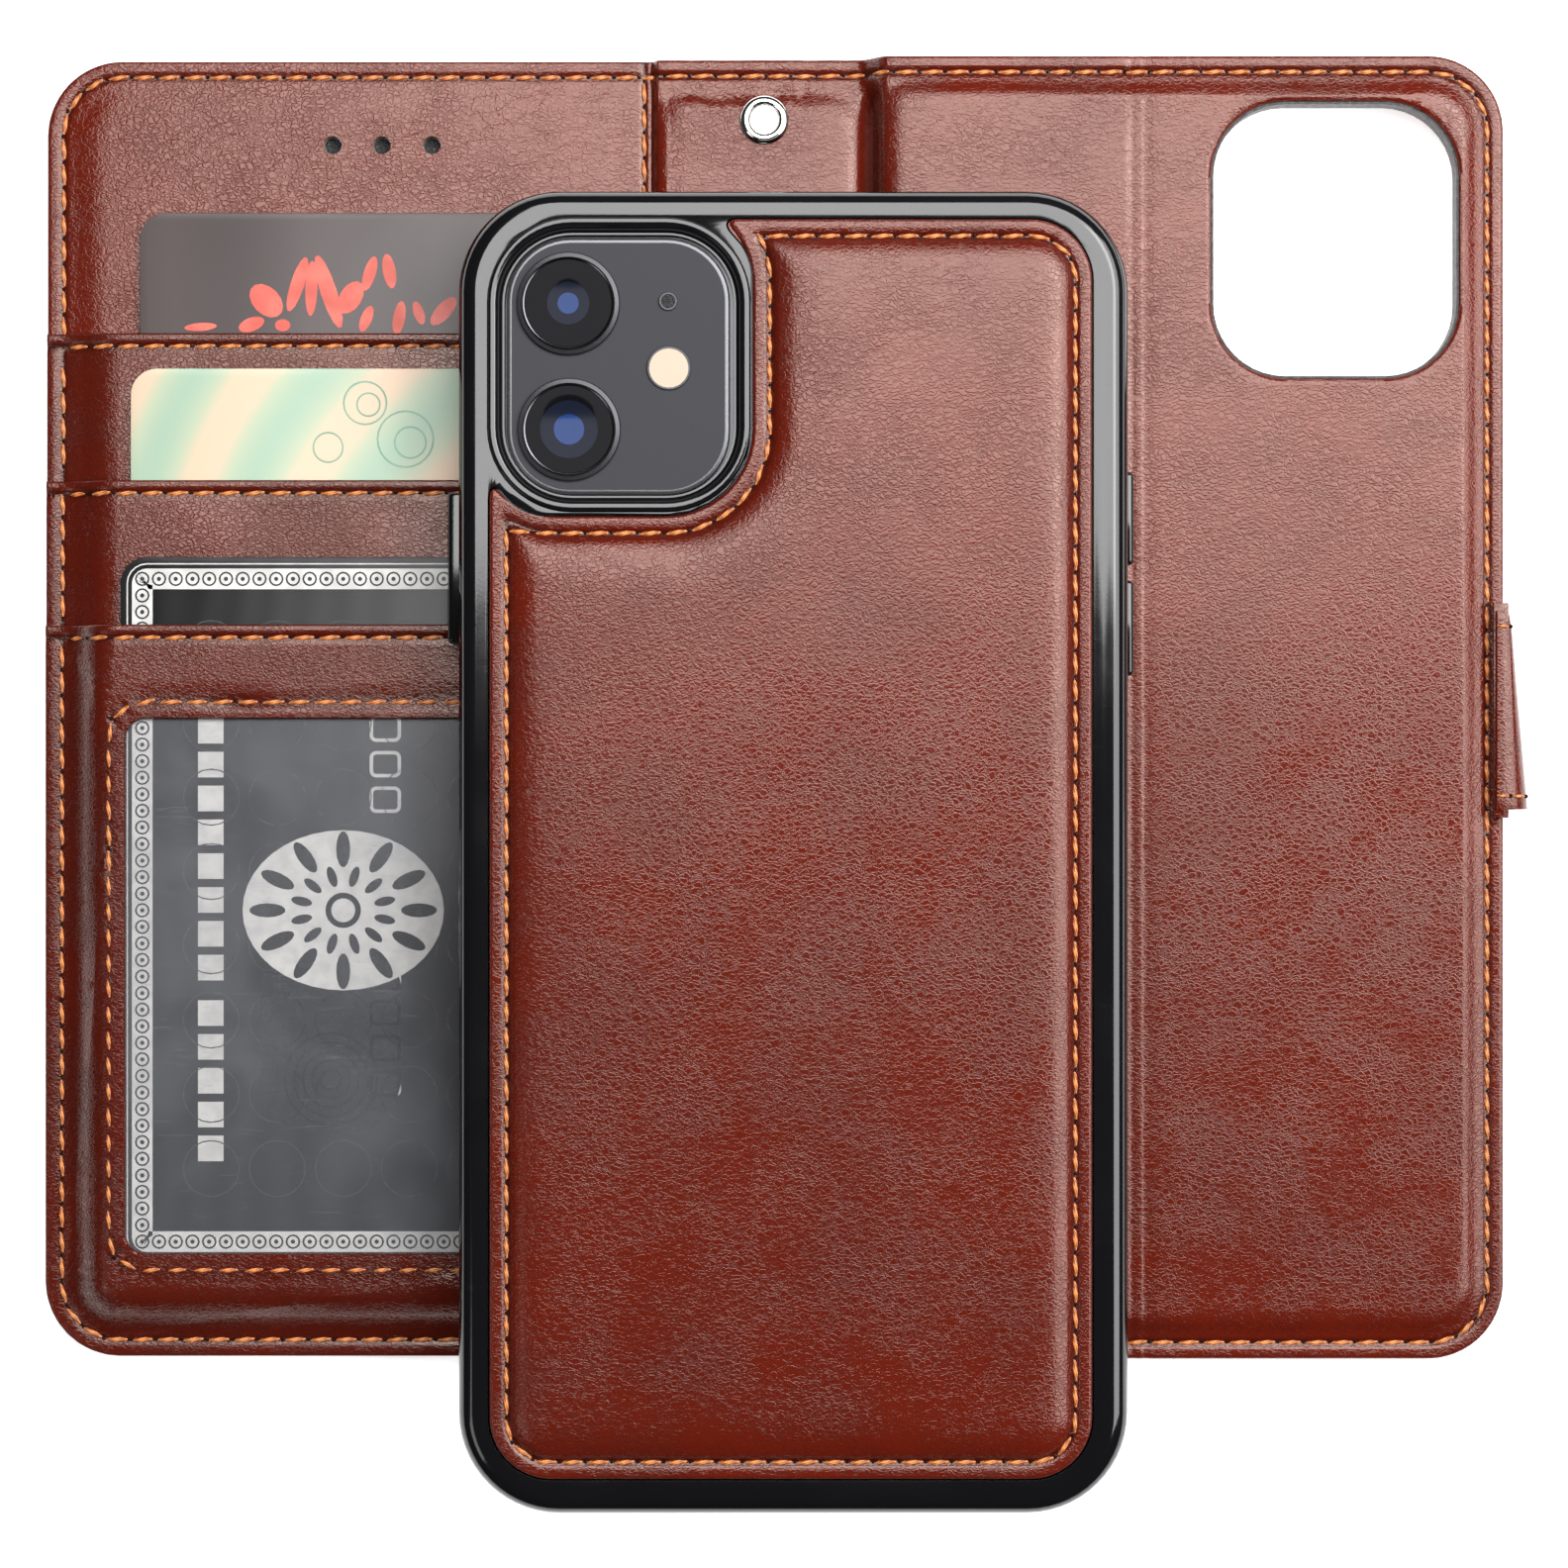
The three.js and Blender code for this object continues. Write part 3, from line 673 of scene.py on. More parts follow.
@dataclass(frozen=True)
class LeatherFinish:
    """Glossy coated leather with a wrinkled grain; painted shade darkens its creases and painted
    shadow its seam grooves.
    """

    name: str
    body: Colour
    deep: Colour
    cell: float = 0.56
    relief: float = 0.024
    roughness: float = 0.155
    lacquer: Colour = (1.0, 0.79, 0.71)

    def make(self) -> Material:
        """Build the material."""
        material, graph = new_material(self.name)
        grain = graph.group(grain_group(), graph.coordinates(), Cell=self.cell * MM)
        level, crease, mottle = (grain.outputs[label] for label in ("Level", "Crease", "Mottle"))
        seam = graph.add("Attribute", attribute_name="seam").outputs["Fac"]
        lively = graph.ramp(mottle, 0.3, 0.7, 0.0, 0.45)
        tone = graph.blend(lively, self.body, self.deep)
        # Painted shade: the grain creases are darkened towards the deep tone, standing in for the
        # shade in them.
        creased = graph.blend(graph.math("MULTIPLY", crease, 0.55), tone, self.deep)
        # Painted shadow: along the seam mask the colour goes to a near-black brown, standing in for
        # the groove's shade.
        sewn = tuple(part * 0.35 for part in self.deep)
        colour = graph.blend(graph.math("MULTIPLY", seam, 0.85), creased, sewn)
        rough = graph.math("ADD", graph.math("MULTIPLY", crease, 0.16),
                           graph.ramp(mottle, 0.25, 0.75, self.roughness - 0.03,
                                      self.roughness + 0.05))
        bump = graph.add("Bump", {"Height": level, "Distance": self.relief * MM,
                                  "Strength": 0.9}).outputs[0]
        graph.surface({"Base Color": colour, "Roughness": rough, "Normal": bump,
                       "Specular Tint": (*self.lacquer, 1.0)})
        return material


@dataclass(frozen=True)
class MouldedFinish:
    """Hard plastic, lacquer or glass with faint handling marks."""

    name: str
    colour: Colour
    roughness: float = 0.12
    marks: float = 0.12
    coat: float = 0.0
    metal: float = 0.0
    shine: float = 0.5

    def make(self) -> Material:
        """Build the material."""
        material, graph = new_material(self.name)
        place = graph.coordinates()
        marks = graph.group(rub_group(), place, Amount=self.marks).outputs["Marks"]
        rough = graph.math("ADD", marks, self.roughness, clamp=True)
        pale = tuple(min(1.0, part * 1.5 + 0.004) for part in self.colour)
        colour = graph.blend(graph.math("MULTIPLY", marks, 2.0, clamp=True), self.colour, pale)
        bump = graph.add("Bump", {"Height": graph.noise(place, 2400.0, 2.0), "Strength": 0.25,
                                  "Distance": 0.004 * MM}).outputs[0]
        graph.surface({"Base Color": colour, "Roughness": rough, "Metallic": self.metal,
                       "Normal": bump, "Coat Weight": self.coat, "Coat Roughness": 0.05,
                       "Specular IOR Level": self.shine})
        return material


@dataclass(frozen=True)
class StockFinish:
    """Board, foam, cut edges and other stock with visible flecks."""

    name: str
    light: Colour
    dark: Colour
    scale: float = 900.0
    relief: float = 0.05
    roughness: float = 0.85
    shine: float = 0.3

    def make(self) -> Material:
        """Build the material."""
        material, graph = new_material(self.name)
        fleck = graph.group(fleck_group(), graph.coordinates(), Scale=self.scale)
        value = fleck.outputs["Fleck"]
        bump = graph.add("Bump", {"Height": value, "Distance": self.relief * MM}).outputs[0]
        graph.surface({"Base Color": graph.blend(value, self.dark, self.light),
                       "Roughness": graph.ramp(value, 0.0, 1.0, self.roughness,
                                               self.roughness - 0.08),
                       "Normal": bump, "Specular IOR Level": self.shine})
        return material


@dataclass(frozen=True)
class ThreadFinish:
    """Twisted sewing thread, its strands following the piece's own map, with painted shade in the
    grooves between strands.
    """

    name: str
    light: Colour
    dark: Colour

    def make(self) -> Material:
        """Build the material."""
        material, graph = new_material(self.name)
        spot = graph.add("TexCoord").outputs["UV"]
        strands = graph.add("TexWave", {"Vector": spot, "Scale": 1.6, "Distortion": 0.6,
                                        "Detail": 1.0}, bands_direction="DIAGONAL").outputs[1]
        fuzz = graph.noise(graph.coordinates(), 5200.0, 3.0)
        height = graph.math("ADD", strands, graph.math("MULTIPLY", fuzz, 0.3))
        bump = graph.add("Bump", {"Height": height, "Distance": 0.05 * MM}).outputs[0]
        # Painted shade: the colour follows the strand height, darker in the grooves between the
        # strands.
        graph.surface({"Base Color": graph.blend(graph.ramp(strands, 0.1, 0.8), self.dark,
                                                 self.light),
                       "Roughness": graph.ramp(fuzz, 0.3, 0.7, 0.45, 0.6), "Normal": bump})
        return material


@dataclass(frozen=True)
class CardFinish:
    """Laminated card printed with soft bands that drift across it."""

    name: str
    tones: tuple[Colour, Colour, Colour]
    band: float = 28.0
    drift: float = 3.0
    turn: float = 0.0
    centre: tuple[float, float] = (0.0, 0.0)
    roughness: float = 0.3
    shine: float = 0.22

    def make(self) -> Material:
        """Build the material."""
        material, graph = new_material(self.name)
        place = graph.coordinates()
        spot = graph.add("Mapping", {"Vector": place, "Location": (
            -self.centre[0] * MM, -self.centre[1] * MM, 0.0), "Rotation": (0.0, 0.0, self.turn)})
        wave = graph.add("TexWave", {"Vector": spot.outputs[0], "Scale": self.band,
                                     "Distortion": self.drift, "Detail": 0.0,
                                     "Detail Scale": 0.6}).outputs[1]
        colours = graph.add("ValToRGB", {0: wave})
        ramp = colours.color_ramp
        ramp.elements[0].color = (*self.tones[0], 1.0)
        ramp.elements[1].color = (*self.tones[2], 1.0)
        ramp.elements.new(0.5).color = (*self.tones[1], 1.0)
        rub = graph.group(rub_group(), place, Amount=0.1)
        graph.surface({"Base Color": colours.outputs[0], "Specular IOR Level": self.shine,
                       "Roughness": graph.math("ADD", rub.outputs["Marks"], self.roughness)})
        return material


@dataclass(frozen=True)
class FilmFinish:
    """Clear plastic film, slightly hazy and scuffed."""

    name: str
    haze: float = 0.11

    def make(self) -> Material:
        """Build the material."""
        material, graph = new_material(self.name)
        place = graph.coordinates()
        marks = graph.group(rub_group(), place, Amount=0.2).outputs["Marks"]
        cover = graph.math("ADD", graph.math("MULTIPLY", marks, 0.5), self.haze)
        bump = graph.add("Bump", {"Height": graph.noise(place, 45.0, 2.0), "Strength": 0.4,
                                  "Distance": 0.25 * MM}).outputs[0]
        graph.surface({"Base Color": graph.blend(marks, (0.22, 0.225, 0.245), (0.34, 0.34, 0.36)),
                       "Roughness": graph.math("ADD", marks, 0.12, clamp=True), "Normal": bump,
                       "Specular IOR Level": 0.2, "Alpha": cover})
        return material


def ink(name: str, light: Colour, dark: Colour, scale: float = 500.0,
        roughness: float = 0.35) -> StockFinish:
    """Return the finish of a thin print."""
    return StockFinish(name, light, dark, scale=scale, relief=0.004, roughness=roughness)


class Finish(Enum):
    """Every finish on the object, under its maker's name."""

    OUTER = LeatherFinish("outer leather", (0.074, 0.0064, 0.0022), (0.034, 0.0027, 0.0010))
    INNER = LeatherFinish("inner leather", (0.088, 0.0072, 0.0024), (0.044, 0.0032, 0.0012))
    POCKET = LeatherFinish("pocket leather", (0.068, 0.0062, 0.0025), (0.032, 0.0026, 0.0011),
                           cell=0.5, relief=0.021)
    RAW_EDGE = StockFinish("painted edge", (0.030, 0.026, 0.026), (0.012, 0.010, 0.010),
                           scale=1400.0, roughness=0.5)
    BOARD = StockFinish("cover board", (0.30, 0.25, 0.19), (0.17, 0.14, 0.10))
    FOAM = StockFinish("foam", (0.040, 0.037, 0.034), (0.015, 0.014, 0.013), scale=1600.0,
                       relief=0.2)
    THREAD = ThreadFinish("orange thread", (0.56, 0.19, 0.046), (0.22, 0.056, 0.012))
    # Painted shade: the dark colour of the blobs that stand for the inside of the stitch holes.
    HOLE = StockFinish("needle hole shade", (0.016, 0.004, 0.003), (0.006, 0.002, 0.0015),
                       scale=2500.0, shine=0.05)
    FRAME = MouldedFinish("black frame", (0.0035, 0.0035, 0.004), 0.08, 0.08)
    SHELL = MouldedFinish("black shell", (0.010, 0.010, 0.011), 0.35, 0.15)
    NICKEL = MouldedFinish("nickel", (0.13, 0.126, 0.12), 0.2, 0.2, metal=1.0)
    STEEL = MouldedFinish("steel", (0.42, 0.42, 0.43), 0.36, 0.25, metal=1.0)
    MAGNET = MouldedFinish("magnet", (0.50, 0.49, 0.48), 0.22, 0.2, metal=1.0)
    ALLOY = MouldedFinish("handset alloy", (0.050, 0.051, 0.055), 0.3, 0.12, metal=0.8)
    SCREEN = MouldedFinish("screen glass", (0.004, 0.004, 0.005), 0.05, 0.06, coat=1.0)
    PLATE = MouldedFinish("lens plate", (0.031, 0.030, 0.035), 0.45, 0.05, shine=0.1)
    # Painted highlight: a paler, metallic copy of the plate finish for its rounded rim and sides.
    PLATE_RIM = MouldedFinish("lens plate rim highlight", (0.080, 0.080, 0.086), 0.25, 0.1, metal=0.7)
    LENS_RING = MouldedFinish("lens ring", (0.030, 0.030, 0.033), 0.3, 0.1, metal=0.6)
    BRIGHT_RIM = MouldedFinish("bright rim", (0.085, 0.087, 0.092), 0.2, 0.1, metal=1.0)
    LENS = MouldedFinish("lens glass", (0.0035, 0.0035, 0.0045), 0.05, 0.02, shine=0.03)
    IRIS = MouldedFinish("lens inner", (0.006, 0.008, 0.016), 0.1, 0.02, shine=0.05)
    PUPIL = MouldedFinish("lens pupil", (0.008, 0.028, 0.110), 0.06, 0.02, shine=0.1)
    FLASH = MouldedFinish("flash lens", (0.40, 0.33, 0.25), 0.3, 0.05, shine=0.2)
    # Dark mesh for the microphone; the same finish fills the cover's sound holes as painted shade.
    MESH = StockFinish("dark mesh and hole shade", (0.035, 0.035, 0.038), (0.004, 0.004, 0.004), scale=5000.0,
                       relief=0.08, roughness=0.5)
    FILM = FilmFinish("window film")
    GREY_CARD = CardFinish("grey card", ((0.066, 0.054, 0.053), (0.072, 0.059, 0.058),
                                         (0.060, 0.049, 0.048)), 12.0, 4.0)
    MINT_CARD = CardFinish("mint card", ((0.27, 0.37, 0.28), (0.36, 0.40, 0.29),
                                         (0.55, 0.40, 0.29)), 22.0, 9.0, turn=0.5,
                           centre=(-66.0, 42.0))
    BLACK_CARD = CardFinish("black card", ((0.005, 0.005, 0.0055), (0.008, 0.0078, 0.008),
                                           (0.011, 0.0105, 0.011)), 60.0, 6.0)
    CORAL_INK = ink("coral ink", (0.52, 0.085, 0.055), (0.40, 0.055, 0.035), scale=300.0)
    WHITE_INK = ink("white ink", (0.50, 0.49, 0.47), (0.40, 0.39, 0.38))
    DARK_INK = ink("dark ink", (0.006, 0.006, 0.006), (0.003, 0.003, 0.003), roughness=0.3)
    MINT_INK = ink("mint ink", (0.17, 0.30, 0.21), (0.13, 0.24, 0.17))
    GREY_INK = ink("grey ink", (0.030, 0.030, 0.031), (0.022, 0.022, 0.023), roughness=0.3)

    @property
    def material(self) -> Material:
        """The finish's material, built at its first use."""
        made = bpy.data.materials.get(self.value.name)
        return made if made else self.value.make()


# ---- pieces


def make_piece(mesh: BMesh, name: str, finishes: Sequence[Finish],
               slot: str = "", body: str = "", stands_for: Sequence[str] = (),
               sharp: float = 42.0) -> Object:
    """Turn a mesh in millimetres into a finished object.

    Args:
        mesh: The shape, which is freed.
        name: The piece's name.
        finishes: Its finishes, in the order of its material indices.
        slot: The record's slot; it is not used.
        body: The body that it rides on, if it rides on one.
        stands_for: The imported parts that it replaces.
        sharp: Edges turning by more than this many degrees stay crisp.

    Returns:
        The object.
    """
    bmesh.ops.scale(mesh, vec=(MM, MM, MM), verts=mesh.verts[:])
    data = settle(mesh, name)
    data.shade_smooth()
    data.set_sharp_from_angle(angle=math.radians(sharp))
    for finish in finishes:
        data.materials.append(finish.material)
    piece = put_in_scene(name, data)
    if body:
        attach(piece, body)
    if stands_for:
        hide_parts(*stands_for)
    LOG.info("%s: %d faces", name, len(data.polygons))
    return piece


def bend(piece: Object, bodies: tuple[str, str], ends: tuple[float, float]) -> None:
    """Bake the piece's placement into its mesh."""
    start, end = ((x * MM, 0.0, 0.0) for x in ends)
    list(bodies)
    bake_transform(piece)
    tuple(start)
    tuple(end)


def dress(node: str, finish: Finish) -> None:
    """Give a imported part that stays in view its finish."""
    data = frame["nodes"][node].data
    data.materials.clear()
    data.materials.append(finish.material)


class Face(Enum):
    """Which side of a sheet the stitches lie on."""

    UPPER = 1.0
    LOWER = -1.0


@dataclass
class Seam:
    """A row of slanted stitches, each followed by a dark blob painted as the shade in the hole the
    needle made, along a line.
    """

    name: str
    body: str
    path: Sequence[Vector]
    surface: Height
    closed: bool = False
    face: Face = Face.UPPER
    pitch: float = 3.1
    length: float = 2.6
    width: float = 0.6
    rise: float = 0.2
    slant: float = 5.0
    # Size of the flat dark blob painted as the shade in each stitch hole.
    needle: tuple[float, float, float] = (0.3, 0.3, 0.07)
    keep: Callable[[float, float], bool] = field(default=lambda x, y: True)

    def places(self) -> Iterable[tuple[Vector, Vector]]:
        """Walk the line, giving each stitch's middle and direction."""
        line = list(self.path) + ([self.path[0]] if self.closed else [])
        lengths = [(after - before).length for before, after in zip(line, line[1:])]
        count = max(1, round(sum(lengths) / self.pitch))
        step = sum(lengths) / count
        target, walked, index = step / 2, 0.0, 0
        for _ in range(count):
            while index < len(lengths) - 1 and walked + lengths[index] < target:
                walked += lengths[index]
                index += 1
            along = (line[index + 1] - line[index]).normalized()
            yield line[index] + along * (target - walked), along
            target += step

    def build(self) -> Optional[Object]:
        """Lay the stitches on the surface, with a painted-shade blob at each stitch hole, and
        return them as one piece.
        """
        mesh, shift = bmesh.new(), random.Random(self.name)
        mesh.loops.layers.uv.new("map")
        side = self.face.value
        for middle, along in self.places():
            if not self.keep(middle.x, middle.y):
                continue
            turn = math.atan2(along.y, along.x) + math.radians(
                self.slant + shift.uniform(-2.0, 2.0))
            half = along * self.length / 2
            ends = [self.surface(*(middle + part)) for part in (-half, half)]
            level = self.surface(middle.x, middle.y)
            pitch = math.atan2(ends[1] - ends[0], self.length)
            place = Matrix.Translation((middle.x, middle.y, level + side * self.rise * 0.25))
            lie = Matrix.Rotation(turn, 4, "Z") @ Matrix.Rotation(-pitch, 4, "Y")
            size = Matrix.Diagonal((self.length / 2 * shift.uniform(0.96, 1.04), self.width / 2,
                                    self.rise * 1.15, 1.0))
            stand = Matrix.Rotation(math.pi / 2, 4, "Y")
            bmesh.ops.create_uvsphere(mesh, u_segments=8, v_segments=7, radius=1.0,
                                      matrix=place @ lie @ size @ stand, calc_uvs=True)
            # A flat dark blob at each stitch hole paints the shade inside the hole.
            gap = middle + along * self.pitch / 2
            foot = Matrix.Translation((gap.x, gap.y, self.surface(gap.x, gap.y)))
            known = len(mesh.faces)
            bmesh.ops.create_icosphere(mesh, subdivisions=1, radius=1.0, matrix=foot
                                       @ Matrix.Diagonal((*self.needle, 1.0)))
            mesh.faces.ensure_lookup_table()
            for face in mesh.faces[known:]:
                face.material_index = 1
        if not mesh.faces:
            mesh.free()
            return None
        return make_piece(mesh, self.name, (Finish.THREAD, Finish.HOLE), "thread", self.body,
                          sharp=80.0)


def line(*points: tuple[float, float]) -> list[Vector]:
    """Return a path through the given points."""
    return [Vector(point) for point in points]


# ---- the folding cover


@dataclass
class FoldingCover:
    """The cover's outer leather, its padded lining and the boards between them."""

    corner: float = 9.2
    seam_inset: float = 2.0
    roll: float = 0.45
    pad_slope: float = 3.6
    board_inset: float = 3.2
    groove: tuple[float, float] = (8.9, 12.1)
    tuck: float = 1.72
    spine_hem: float = 3.15
    back_hem: float = 6.1
    liner_hem: float = 1.98
    sounds: tuple[float, float, float] = (-55.2, -49.2, -43.1)
    sound_height: float = 77.1
    sound_radius: float = 1.1
    fold_ends: tuple[float, float] = (-16.2, -13.0)
    groove_ends: tuple[float, float] = (8.3, 11.6)
    front: Span = packed("front_liner")
    front_skin: Span = packed("front_skin")
    spine: Span = packed("spine_lining")
    spine_skin: Span = packed("spine_skin")
    inner: Span = packed("back_inner_lining")
    outer: Span = packed("back_outer_lining")
    back_skin: Span = packed("back_outer_skin")
    eyelet: Span = packed("eyelet_barrel")
    window: Panel = Panel(51.6, 81.6, 48.2, 81.7, (9.0,) * 4)

    def __post_init__(self) -> None:
        """Work out the outline, the folds and the padded fields."""
        edge, hem = self.corner, self.seam_inset + 0.7
        low, high = self.front.bottom, self.front.top
        self.outline = Panel(self.front.left, self.outer.right, low, high, (edge,) * 4)
        self.folds = {joint["name"]: joint["pos_m"][0] / MM for joint in frame["joints"]
                      if joint["name"] in ("spine_fold", "front_fold", "stand_fold")}
        inside = self.outline.grown(-hem)
        soft = (4.0,) * 4
        self.spine_pad = Pad(Panel(self.front.right - 0.1, self.groove[0] + 0.9,
                                   inside.bottom + 1.3, inside.top - 1.3, soft),
                             self.spine.high - self.spine_hem, 2.2)
        self.back_pad = Pad(Panel(self.groove[1] - 0.9, inside.right, inside.bottom, inside.top,
                                  (4.0, 6.5, 6.5, 4.0)), self.outer.high - self.back_hem, 2.6)
        self.liner_pad = Pad(Panel(inside.left, self.front.right - 3.4, inside.bottom,
                                   inside.top, (6.5, 2.0, 2.0, 6.5)),
                             self.front.high - self.liner_hem, self.pad_slope)

    # -- heights

    def seam(self, x: float, y: float) -> float:
        """Say how much of the sewn groove is at a place, from 0 to 1."""
        return ridge(self.outline.depth(x, y), self.seam_inset, 0.42)

    def _lining_plain(self, x: float, y: float) -> float:
        """Return the lining's height before its creases, its seam and its rolled edges."""
        inward = smooth(self.outline.depth(x, y), 2.6, 6.0)
        step = smooth(x, 8.9 + 1.4 * inward, 12.6 - 0.5 * inward)
        level = self.tuck + (self.spine_hem - self.tuck) * smooth(x, -16.4, -15.4)
        level += (self.back_hem - self.spine_hem) * step
        level += self.spine_pad.rise(x, y) + self.back_pad.rise(x, y)
        return level - 1.2 * inward * max(0.0, 1.0 - abs(x - 10.4) / 1.2)

    def lining_top(self, x: float, y: float) -> float:
        """Return the height of the padded lining from the front fold to the right edge."""
        depth = self.outline.depth(x, y)
        inward = smooth(depth, 2.6, 6.0)
        level = self._lining_plain(x, y)
        level -= 0.12 * ridge(x, self.folds["front_fold"] + 0.6, 0.4) * inward
        for crease in (self.inner.right, self.outer.left):
            level -= 0.2 * ridge(x, crease, 0.55)
        level -= 0.34 * self.seam(x, y) + edge_roll(depth, self.roll)
        level += 0.14 * inward * ripple(x, y, 30.0, 2.0) - 0.05 * inward
        return level + self._spine_wrinkles(x, y)

    def _spine_wrinkles(self, x: float, y: float) -> float:
        """Return the puckers across the spine under its top hem."""
        across = smooth(x, -14.5, -12.5) * (1.0 - smooth(x, 7.0, 9.2))
        if across <= 0.0:
            return 0.0
        pleat = noise.noise(Vector((x / 1.5, y / 9.0, 7.0))) * smooth(y, 80.5, 83.5)
        crease = noise.noise(Vector((x / 3.0, y / 0.9, 3.0))) * ridge(y, 82.3, 1.5)
        broad = noise.noise(Vector((x / 7.0, y / 2.6, 3.0)))
        return across * (0.2 * pleat + 0.22 * crease + 0.05 * broad)

    def lining_under(self, x: float, y: float) -> float:
        """Return the underside of the lining."""
        return self._lining_plain(x, y) - (0.7 if x < self.spine.left else 0.95)

    def liner_top(self, x: float, y: float) -> float:
        """Return the height of the front cover's liner."""
        right = self.front.right - x
        depth = min(self.outline.depth(x, y), right)
        groove = max(self.seam(x, y), ridge(right, 1.0, 0.4))
        return (self.liner_hem + self.liner_pad.rise(x, y) - 0.2 * groove
                - edge_roll(depth, 0.35) + 0.05 * ripple(x, y, 30.0, 5.0))

    def liner_under(self, x: float, y: float) -> float:
        """Return the underside of the front cover's liner."""
        return self.liner_hem + self.liner_pad.rise(x, y) - 0.55

    def _skin_plain(self, x: float, y: float) -> float:
        """Return the outer leather's lower side before its seam, folds and rolled edges."""
        outward = 1.0 - smooth(self.outline.depth(x, y), 2.6, 6.2)
        level = self.spine_skin.low * smooth(x, -16.2, -13.0)
        level += (self.back_skin.low - self.spine_skin.low) * smooth(x, 9.0, 12.4)
        return level + 0.8 * outward

    def skin_under(self, x: float, y: float) -> float:
        """Return the outer side of the cover, which faces the table."""
        level = self._skin_plain(x, y) + 0.18 * self.seam(x, y)
        for fold in (self.folds["front_fold"], self.folds["spine_fold"]):
            level += 0.22 * ridge(x, fold, 0.8)
        return level + edge_roll(self.outline.depth(x, y), self.roll)

    def skin_top(self, x: float, y: float) -> float:
        """Return the inner side of the outer leather."""
        return self._skin_plain(x, y) + 0.68

    # -- pieces

    def hem_lines(self, reaches: Iterable[float]) -> list[float]:
        """Return the Y of lines along the lower and upper edges, at distances in from them."""
        whole = self.outline
        return [y for reach in reaches for y in (whole.bottom + reach, whole.top - reach)]

    def sound_discs(self, radius: float) -> list[list[Corner]]:
        """Return a round outline at each of the three sound holes."""
        return [disc(x, self.sound_height, radius) for x in self.sounds]

    def strip(self, left: float, right: float) -> list[Corner]:
        """Return the part of the cover's outline between two upright lines."""
        whole = self.outline
        first = self.corner if left <= whole.left else 0.0
        last = self.corner if right >= whole.right else 0.0
        return Panel(left, right, whole.bottom, whole.top, (first, last, last, first)).corners()

    def build(self) -> None:
        """Make all of the cover's own pieces."""
        self._linings()
        self._skins()
        self._boards()
        self._window_edge()
        self._sound_hole_shade()
        self._eyelet()
        self._threads()
        for index in range(4):
            dress(f"dock_magnet_{index + 1}", Finish.MAGNET)
        dress("keeper_plate", Finish.STEEL)

    def _linings(self) -> None:
        """Make the liner and the three lengths of padded lining."""
        rings = (0.1, 0.3, 0.6, 1.2, 1.6, 1.85, 2.15, 2.45, 2.9, 3.5, 4.2)
        eyelet = (disc(*self.eyelet.middle, 2.35),)
        liner = Sheet(self.strip(self.outline.left, self.front.right), self.liner_top,
                      self.liner_under, holes=self.sound_discs(self.sound_radius), rings=rings,
                      seam=lambda x, y: max(self.seam(x, y),
                                            ridge(self.front.right - x, 1.0, 0.35)),
                      extra_x=[self.front.right - part for part in (0.7, 1.0, 1.3, 1.7)],
                      extra_y=self.hem_lines(rings), pitch=1.3)
        make_piece(liner.build(), "cover_liner", (Finish.INNER,), "inner_leather",
                   "front_cover", ("front_liner",))
        spans = {
            "lining_spine": (-18.0, 5.0, ("spine", "front_cover"), self.fold_ends[::-1], eyelet,
                             ("spine_lining",)),
            "lining_groove": (5.0, 27.0, ("spine", "back_inner"), self.groove_ends, (),
                              ("back_inner_lining",)),
            "lining_back": (27.0, self.outline.right, ("back_inner", "back_outer"),
                            (self.inner.right - 0.4, self.outer.left + 0.4),
                            (self.window.corners(),), ("back_outer_lining",)),
        }
        folds = (-16.4, -16.15, -15.9, -15.65, -15.4, -14.4, -13.8, 8.8, 9.2, 9.6, 10.0, 10.4, 10.7,
                 11.0, 11.3, 11.6, 12.0, 12.5, 41.3, 41.8, 42.3, 42.9, 43.5, 44.0)
        for name, (left, right, bodies, ends, holes, stands) in spans.items():
            sheet = Sheet(self.strip(left, right), self._lining_top_at_window, self.lining_under,
                          holes=holes, rings=rings if right > 80.0 else (0.02,),
                          extra_x=folds, extra_y=self.hem_lines(rings), seam=self.seam,
                          pitch=1.25)
            piece = make_piece(sheet.build(), name, (Finish.INNER,), "inner_leather",
                               stands_for=stands)
            bend(piece, bodies, ends)

    def _lining_top_at_window(self, x: float, y: float) -> float:
        """Return the lining's height, rolled down where it meets the camera window."""
        return self.lining_top(x, y) - edge_roll(max(0.0, -self.window.depth(x, y)), 0.5)

    def _skins(self) -> None:
        """Make the three lengths of outer leather."""
        eyelet = (disc(*self.eyelet.middle, 2.35),)
        outer_rings = (0.12, 0.35, 1.4, 2.0, 2.6)
        spans = {
            "skin_front": (self.outline.left, -9.0, ("front_cover", "spine"), self.fold_ends,
                           self.sound_discs(self.sound_radius), ("front_skin",)),
            "skin_spine": (-9.0, 27.0, ("spine", "back_inner"), self.groove_ends, eyelet,
                           ("spine_skin", "back_inner_skin")),
            "skin_back": (27.0, self.outline.right, ("back_inner", "back_outer"),
                          (self.inner.right - 0.4, self.outer.left + 0.4),
                          (self.window.corners(),), ("back_outer_skin",)),
        }
        for name, (left, right, bodies, ends, holes, stands) in spans.items():
            sheet = Sheet(self.strip(left, right), self.skin_top, self.skin_under, holes=holes,
                          rings=outer_rings, pitch=2.2,
                          extra_y=self.hem_lines(outer_rings),
                          extra_x=(-15.4, -14.6, -13.8, 9.1, 9.9, 10.7, 42.3, 42.9, 43.5),
                          seam=self.seam)
            piece = make_piece(sheet.build(), name, (Finish.OUTER,), "outer_leather",
                               stands_for=stands)
            bend(piece, bodies, ends)

